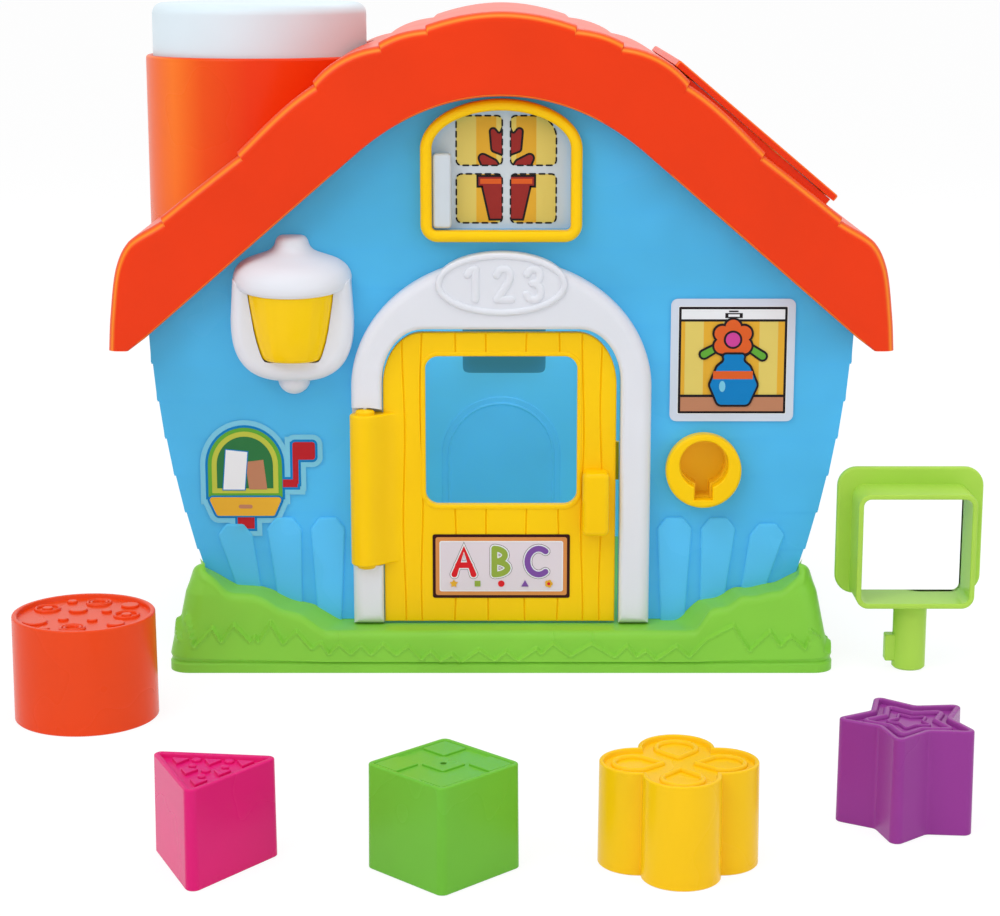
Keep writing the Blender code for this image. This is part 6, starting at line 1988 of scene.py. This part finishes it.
def build_flower_block(finish):
    floor = FLOWER_TALL - BLOCK_SINK
    parts = [layered(flower_outline(FLOWER_R, FLOWER_LOBE_R), block_levels(FLOWER_TALL, rim=FLOWER_RIM), "Z")]
    for quarter in range(4):
        outline = petal_drop(math.radians(45 + quarter * 90))
        parts.append(relief_line(outline, DROP_LINE_SHARE, floor))
    build_block(finish, "flower", parts, FLOWER_PLACE, FLOWER_TURN_DEG, "block_yellow")


def petal_drop(turn):
    """A drop on one lobe, its point to the flower's middle."""
    out = Vector((math.cos(turn), math.sin(turn)))
    away = FLOWER_R - FLOWER_LOBE_R
    drop = [out * (away - DROP_POINT)]
    for i in range(DROP_STEPS + 1):
        angle = turn - math.radians(DROP_DEG) + math.radians(DROP_DEG * 2) * i / DROP_STEPS
        drop.append(out * (away + DROP_SHIFT) + Vector((math.cos(angle), math.sin(angle))) * DROP_R)
    return filleted([tuple(point) for point in drop], FINE)


def build_star_block(finish):
    floor = STAR_TALL - BLOCK_SINK
    parts = [layered(star_outline(STAR_R), block_levels(STAR_TALL), "Z")]
    for share, corner_share, size in STAR_LINES:
        parts.append(relief_line(star_outline(STAR_R * share, BLOCK_CORNER * corner_share), size, floor))
    build_block(finish, "star", parts, STAR_PLACE, STAR_TURN_DEG, "block_purple")


# Key


def build_key(finish):
    front, back = KEY_Y - KEY_DEPTH / 2, KEY_Y + KEY_DEPTH / 2
    head = filleted(rectangle((KEY_X - KEY_HALF, KEY_LOW), (KEY_X + KEY_HALF, KEY_HIGH)), KEY_CORNER, 8)
    half = KEY_HALF - KEY_BAR
    hole = rectangle((KEY_X - half, KEY_LOW + KEY_BAR), (KEY_X + half, KEY_HIGH - KEY_BAR))
    hole = filleted(hole, KEY_CORNER - KEY_BAR, 8)
    ring = cut(solid(head, front, back, EDGE), layered(hole, lip_levels(front, back + OVER, EDGE)))
    plate = rectangle((KEY_X - FLANGE_HALF, FLANGE_LOW), (KEY_X + FLANGE_HALF, FLANGE_HIGH))
    flange = solid(filleted(plate, FLANGE_CORNER, 8), back - FLANGE + FINE, back + FINE, FLANGE_EDGE, EDGE)
    flange = cut(flange, prism(hole, back - FLANGE - OVER, back + OVER))
    whole = together(ring, flange, key_stem(), key_bit())
    piece("shape_key", whole, finish["key_green"], "key", ["key"])


def key_stem():
    top = KEY_LOW + KEY_BAR / 2
    profile = [(0, 0), (KEY_STEM_R - EDGE, 0), (KEY_STEM_R, EDGE), (KEY_STEM_R, top), (0, top)]
    return turned(profile, (KEY_X, KEY_Y), steps=64)


def key_bit():
    low, high = KEY_X - KEY_STEM_R - KEY_BIT, KEY_X - KEY_STEM_R / 2
    plan = rectangle((low, KEY_Y - KEY_BIT_THICK / 2), (high, KEY_Y + KEY_BIT_THICK / 2))
    return solid(filleted(plan, EDGE), KEY_BIT_HIGH, KEY_BIT_LOW, EDGE, EDGE, axis="Z")


# Hidden and plain CAD pieces


def finish_cad_nodes(finish):
    """Every CAD piece that stays gets the moulded finish of its slot."""
    named = {"lock_rotor": "lock_orange", "lock_bolt": "lock_orange"}
    for name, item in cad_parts.items():
        for spot in item.material_slots:
            spot.material = finish[named.get(name, spot.material.name.split(".")[0])]


# Printed parts: outlines on the front, in shares of a picture's half size


class Art:
    """A drawing on the front, laid out in shares of its half size from its centre."""

    def __init__(self, centre, half):
        self.centre = centre
        self.half = half

    def points(self, *shares):
        return [(self.centre[0] + u * self.half, self.centre[1] + v * self.half) for u, v in shares]

    def box(self, left, right, low, high):
        return self.points(*rectangle((left, low), (right, high)))

    def soft(self, share, *shares):
        """An outline with its corners rounded by a share of the half size."""
        return filleted(self.points(*shares), self.half * share)

    def line(self, share, *shares):
        return stroke(self.points(*shares), self.half * share)


def stroke(points, half, steps=6):
    """The outline of a line with a width and round ends."""
    line = [Vector(point) for point in points]
    left, right = [], []
    for i, point in enumerate(line):
        ahead = (line[min(i + 1, len(line) - 1)] - line[max(i - 1, 0)]).normalized()
        across = Vector((-ahead.y, ahead.x)) * half
        left.append(tuple(point + across))
        right.append(tuple(point - across))
    last = line[-1] - line[-2]
    first = line[1] - line[0]
    far = math.degrees(math.atan2(last.y, last.x))
    near = math.degrees(math.atan2(first.y, first.x))
    far_end = arc(line[-1], (half, half), far + 90, far - 90, steps)[1:-1]
    near_end = arc(line[0], (half, half), near - 90, near - 270, steps)[1:-1]
    return left + far_end + right[::-1] + near_end


def dashes(outline):
    """Short strokes along a closed outline, evenly spread."""
    line = [Vector(point) for point in outline + outline[:1]]
    run = lengths_along(line)
    count = round(run[-1] / DASH_PITCH)
    step = run[-1] / count
    made = []
    for i in range(count):
        points = []
        for k in range(DASH_STEPS + 1):
            value = i * step + DASH * step / DASH_PITCH * k / DASH_STEPS
            at = min(max(j for j, length in enumerate(run) if length <= value), len(line) - 2)
            share = (value - run[at]) / (run[at + 1] - run[at])
            points.append(tuple(line[at].lerp(line[at + 1], share)))
        made.append(stroke(points, DASH_HALF, 2))
    return made


def stacked(drawing, back):
    """Printed layers over each other from (shapes, material) pairs, each a little prouder than the last."""
    layers = []
    for i, (shapes, material) in enumerate(drawing):
        layers.append((shapes, material, back - PRINT * (i + 1), back))
    return layers


def petals(centre, away, radius, count, turn_deg=0.0):
    made = []
    for i in range(count):
        turn = math.radians(turn_deg + 360 * i / count)
        spot = (centre[0] + away * math.cos(turn), centre[1] + away * math.sin(turn))
        made.append(circle(spot, radius, 24))
    return made


def all_grown(shapes, amount):
    return [grown(shape, amount) for shape in shapes]


def print_inks():
    """The inks of the stickers and the label, by name."""
    return {name: ink("print_" + name, rgb(*tone)) for name, tone in PRINT_TONES.items()}


def build_picture(inks):
    """A square framed print: a vase with a flower on a striped ground."""
    art = Art(PICTURE, PICTURE_HALF)
    line = art.half * 0.035
    frame_out = filleted(art.box(-0.87, 0.87, -0.87, 0.87), OVER / 2)
    stripes = [art.box(u, u + 0.30, -0.83, 0.63) for u in (-0.77, -0.165, 0.425)]
    vase = art.soft(0.08, *VASE)
    heart = art.points(VASE_BLOOM)[0]
    bloom = petals(heart, art.half * 0.20, art.half * 0.125, 6, 30)
    plant = [art.line(0.035, (0.02, 0.0), (0.0, 0.1), VASE_BLOOM)]
    plant += [art.line(0.055, *leaf) for leaf in VASE_LEAVES]
    gleam = ellipse(art.points((-0.16, -0.42))[0], (art.half * 0.05, art.half * 0.09), 24)
    drawing = [
        ([filleted(art.box(-1, 1, -1, 1), PRINT_CORNER, 8)], inks["paper"]),
        ([grown(frame_out, OVER / 3)], inks["white"]),
        ([frame_out], inks["black"]),
        ([art.box(-0.83, 0.83, -0.83, 0.63)], inks["gold"]),
        (stripes, inks["straw"]),
        ([art.box(-0.83, 0.83, 0.67, 0.83)], inks["white"]),
        ([art.box(-0.13, 0.15, 0.69, 0.77), art.box(-0.07, 0.08, 0.785, 0.81)], inks["black"]),
        ([art.box(-0.08, 0.10, 0.71, 0.75)], inks["white"]),
        ([art.box(-0.83, 0.83, -0.83, -0.56)], inks["black"]),
        ([art.box(-0.83, 0.83, -0.83, -0.60)], inks["brown"]),
        (all_grown(plant, line), inks["black"]),
        (plant, inks["green"]),
        (all_grown(bloom, line), inks["black"]),
        (bloom, inks["orange"]),
        ([circle(heart, art.half * 0.15, 32)], inks["black"]),
        ([circle(heart, art.half * 0.115, 32)], inks["pink"]),
        ([grown(vase, line)], inks["black"]),
        ([vase], inks["blue"]),
        ([art.box(-0.31, 0.33, -0.30, -0.17)], inks["orange"]),
        ([gleam], inks["sky"]),
    ]
    printed("framed_print", stacked(drawing, MOUNT_Y - STICKER / 2 + PRINT), "house", ["picture_sticker"])


def build_post_print(inks):
    """A contour-cut print of a plain letter box on a post, seen from the front, its door hanging open."""
    art = Art(POST, POST_HALF)
    line = art.half * 0.045
    dome = [(u * 0.66 - 0.27, 0.24 + v * 0.68) for u, v in arc((0, 0), (1, 1), 0, 180, 24)]
    body = art.points((-0.93, -0.34), (0.39, -0.34), *dome)
    door = art.soft(0.05, (-0.78, -0.68), (0.24, -0.68), (0.39, -0.34), (-0.93, -0.34))
    flag = art.soft(0.05, *rectangle((0.58, 0.34), (0.98, 0.66)))
    red_parts = [
        art.box(-0.42, -0.12, -0.92, -0.64),
        art.box(0.58, 0.68, -0.10, 0.62),
        flag,
        art.box(0.40, 0.66, -0.16, -0.02),
    ]
    white_letter = art.points((-0.66, -0.20), (-0.28, -0.20), (-0.22, 0.48), (-0.60, 0.52))
    brown_letter = art.points((-0.20, -0.20), (0.12, -0.20), (0.06, 0.34), (-0.26, 0.30))
    shapes = [body, door] + red_parts
    drawing = [
        (all_grown(shapes, line * 3.0), inks["sky"]),
        (all_grown(shapes, line), inks["blue"]),
        (red_parts, inks["red"]),
        ([body], inks["green"]),
        ([grown(body, -art.half * 0.07)], inks["lime"]),
        ([grown(body, -art.half * 0.16)], inks["pine"]),
        ([brown_letter], inks["brown"]),
        ([grown(white_letter, line * 0.4)], inks["blue"]),
        ([white_letter], inks["white"]),
        ([grown(door, line * 0.6)], inks["blue"]),
        ([door], inks["gold"]),
        ([art.line(0.035, (-0.36, -0.51), (-0.18, -0.51))], inks["brown"]),
    ]
    printed("letter_box_print", stacked(drawing, MOUNT_Y - STICKER / 2 + PRINT), "house", ["mailbox_sticker"])


def letter_strokes(z):
    """The letters A, B and C as outlines of their strokes, each a list, centred at a height."""
    tall = LETTER_TALL
    foot, top = z - tall / 2, z + tall / 2
    x = -LETTER_PITCH
    bar = z - tall * 0.14
    a = [[(x - tall * 0.36, foot), (x, top), (x + tall * 0.36, foot)]]
    a.append([(x - tall * 0.22, bar), (x + tall * 0.22, bar)])
    spine = -tall * 0.26
    b = [[(spine, foot), (spine, top)]]
    for centre_z, reach in ((z + tall * 0.25, 0.40), (z - tall * 0.25, 0.50)):
        b.append(arc((spine, centre_z), (tall * reach, tall * 0.25), 90, -90, 12))
    c = [arc((LETTER_PITCH, z), (tall * 0.42, tall * 0.5), 52, 308, 20)]
    return [[stroke(line, LETTER_HALF) for line in letter] for letter in (a, b, c)]


def build_label(inks):
    """The door's label: a dark frame, a tan band and a pale panel with three letters and small shapes."""
    middle = (LABEL_LOW + LABEL_HIGH) / 2
    edge = rectangle((-LABEL_HALF, LABEL_LOW), (LABEL_HALF, LABEL_HIGH))
    cream = filleted(grown(edge, -LABEL_LINE - LABEL_BAND), OVER)
    a, b, c = letter_strokes(middle + LETTER_RISE)
    strokes = a + b + c
    row = middle - SHAPE_DROP
    size = SHAPE_SIZE
    star_x, square_x, dot_x, wedge_x, bloom_x = (SHAPE_PITCH * i for i in range(-2, 3))
    star = [(star_x + u, row + v) for u, v in star_outline(size * 1.2, 0.0)]
    half = size * 0.8
    square = rectangle((square_x - half, row - half), (square_x + half, row + half))
    wedge = [(wedge_x - size, row - half), (wedge_x + size, row - half), (wedge_x, row + size)]
    drawing = [
        ([filleted(edge, OVER)], inks["label_edge"]),
        ([filleted(grown(edge, -LABEL_LINE), OVER)], inks["label_band"]),
        ([cream], inks["white"]),
        ([grown(cream, -OVER / 2)], inks["label_panel"]),
        (all_grown(strokes, LETTER_HALO + PRINT * 3), inks["label_edge"]),
        (all_grown(strokes, LETTER_HALO), inks["white"]),
        (a + [circle((dot_x, row), size * 0.9, 24)], inks["letter_red"]),
        (b + [square], inks["letter_green"]),
        (c + [wedge], inks["letter_purple"]),
        ([star] + petals((bloom_x, row), size * 0.6, size * 0.5, 5), inks["gold"]),
        ([circle((bloom_x, row), size * 0.45, 16)], inks["letter_red"]),
    ]
    printed("letter_label", stacked(drawing, LABEL_BACK_Y), "door", ["door_label"])


def pane_outlines():
    """The shutter's four panes; the upper right one has a wide round corner."""
    panes = []
    for low, high in PANES_Z:
        for left, right in PANES_X:
            panes.append(rectangle((left, low), (right, high)))
    swept = (PANE_ROUND, PANE_ROUND, PANE_SWEEP, PANE_ROUND)
    return [filleted(pane, PANE_ROUND, 10) for pane in panes[:3]] + [filleted(panes[3], swept, 10)]


def pane_stripes():
    """Three upright stripes behind the panes, a fifth of their width each."""
    left, low = PANES_X[0][0], PANES_Z[0][0] - OVER
    pitch = (PANES_X[1][1] - left) / 5
    high = PANES_Z[1][1] + OVER
    return [rectangle((left + pitch * i, low), (left + pitch * i + pitch, high)) for i in (0, 2, 4)]


def potted_tulip(art):
    """A pot, its lip, a bud, a stem and two leaves."""
    bud = art.soft(0.05, *TULIP)
    stem = art.line(0.04, (0.0, -0.14), (0.02, 0.1), (0.0, 0.3))
    shapes = [art.points(*POT), art.box(-0.52, 0.52, -0.30, -0.14), bud, stem]
    for side in (-1, 1):
        leaf = [(side * u, v) for u, v in TULIP_LEAF]
        shapes.append(art.soft(0.06, *leaf))
    return shapes


def shown_through(outline, windows, front, back):
    """The parts of a printed shape that lie inside some windows."""
    parts = []
    for window in windows:
        part = keep(prism(outline, front, back), prism(window, front - OVER, back + OVER))
        if len(part.faces):
            parts.append(part)
    return parts


def build_panes(inks):
    """Four printed panes on the shutter: stripes and one big potted tulip, cut by the panes' bars."""
    back = SHUTTER_FRONT_Y
    middle = ((PANES_X[0][0] + PANES_X[1][1]) / 2, (PANES_Z[0][0] + PANES_Z[1][1]) / 2)
    art = Art(middle, (PANES_Z[1][1] - PANES_Z[0][0]) / 2)
    line = art.half * 0.04
    panes = pane_outlines()
    motif = potted_tulip(art)
    lights = [grown(motif[1], -line * 0.8), art.line(0.03, (-0.05, 0.5), (-0.02, 0.72))]
    drawing = [
        (pane_stripes(), inks["straw"]),
        (all_grown(motif, line), inks["black"]),
        (motif, inks["maroon"]),
        (lights, inks["orange"]),
    ]
    layers = [([pane], inks["gold"], back - PANE_PRINT, back) for pane in panes]
    for i, (shapes, material) in enumerate(drawing):
        front = back - PANE_PRINT * (i + 2)
        for shape in shapes:
            layers += [([part], material, front, back) for part in shown_through(shape, panes, front, back)]
    border = sum((dashes(pane) for pane in panes), [])
    layers.append((border, inks["black"], back - PANE_PRINT * (len(drawing) + 2), back))
    printed("window_panes", layers, "window_shutter")


# Camera, floor and light


def build_camera():
    data = bpy.data.cameras.new("camera")
    data.lens = LENS_MM
    data.sensor_width = SENSOR_MM
    item = linked("camera", data)
    item.location = EYE
    item.rotation_euler = (math.radians(90 - PITCH_DEG), 0, 0)
    bpy.context.scene.camera = item


def seen_by_eye(tree):
    """1 for rays from the camera, from gloss and through glass."""
    path = node(tree, "LightPath").outputs
    first = maths(tree, "MAXIMUM", path["Is Camera Ray"], path["Is Glossy Ray"])
    return maths(tree, "MAXIMUM", first, path["Is Transmission Ray"])


def build_world():
    world = bpy.data.worlds.new("studio")
    bpy.context.scene.world = world
    world.use_nodes = True
    tree = world.node_tree
    tree.nodes.clear()
    light = node(tree, "Background", {"Color": WHITE, "Strength": WORLD_STRENGTH})
    seen = node(tree, "Background", {"Color": WHITE, "Strength": 1.0})
    mix = mixed(tree, seen_by_eye(tree), light, seen)
    wire(mix.outputs[0], node(tree, "OutputWorld").inputs["Surface"])


def build_floor():
    """A wide pale floor that the eye sees near white, with the object's shadow on it."""
    mesh = bpy.data.meshes.new("floor")
    corners = rectangle((-FLOOR_HALF, -FLOOR_HALF), (FLOOR_HALF, FLOOR_HALF))
    mesh.from_pydata([(x, y, -FLOOR_DROP) for x, y in corners], [], [(0, 1, 2, 3)])
    floor = linked("floor", mesh)
    made = bpy.data.materials.new("floor")
    made.use_nodes = True
    tree = made.node_tree
    tree.nodes.clear()
    matt = node(tree, "BsdfDiffuse", {"Color": FLOOR_SHADE})
    glow = node(tree, "Emission", {"Color": WHITE, "Strength": FLOOR_GLOW})
    share = maths(tree, "MULTIPLY", seen_by_eye(tree), FLOOR_GLOW_SHARE)
    mix = mixed(tree, share, matt, glow)
    wire(mix.outputs[0], node(tree, "OutputMaterial").inputs["Surface"])
    mesh.materials.append(made)


def build_lights():
    """The studio's soft square lights, and a faint one inside the house."""
    for name, (spot, aim, size, power) in LIGHTS.items():
        data = bpy.data.lights.new(name, "AREA")
        data.shape = "RECTANGLE"
        data.size, data.size_y = size
        data.energy = power
        item = linked(name, data)
        item.location = spot
        item.rotation_euler = (Vector(aim) - Vector(spot)).to_track_quat("-Z", "Y").to_euler()


def main():
    build_camera()
    build_world()
    build_floor()
    build_lights()
    finish = build_finishes()
    finish_cad_nodes(finish)
    build_base(finish)
    build_front_wall(finish)
    build_rear_wall(finish)
    build_door_frame(finish)
    build_door(finish)
    build_lock(finish)
    build_window(finish)
    build_lamp(finish)
    build_roof(finish)
    build_chimney(finish)
    build_lid(finish)
    build_round_block(finish)
    build_triangle_block(finish)
    build_cube_block(finish)
    build_flower_block(finish)
    build_star_block(finish)
    build_key(finish)
    inks = print_inks()
    build_picture(inks)
    build_post_print(inks)
    build_label(inks)
    build_panes(inks)


main()
bpy.context.scene.view_settings.view_transform = "Standard"
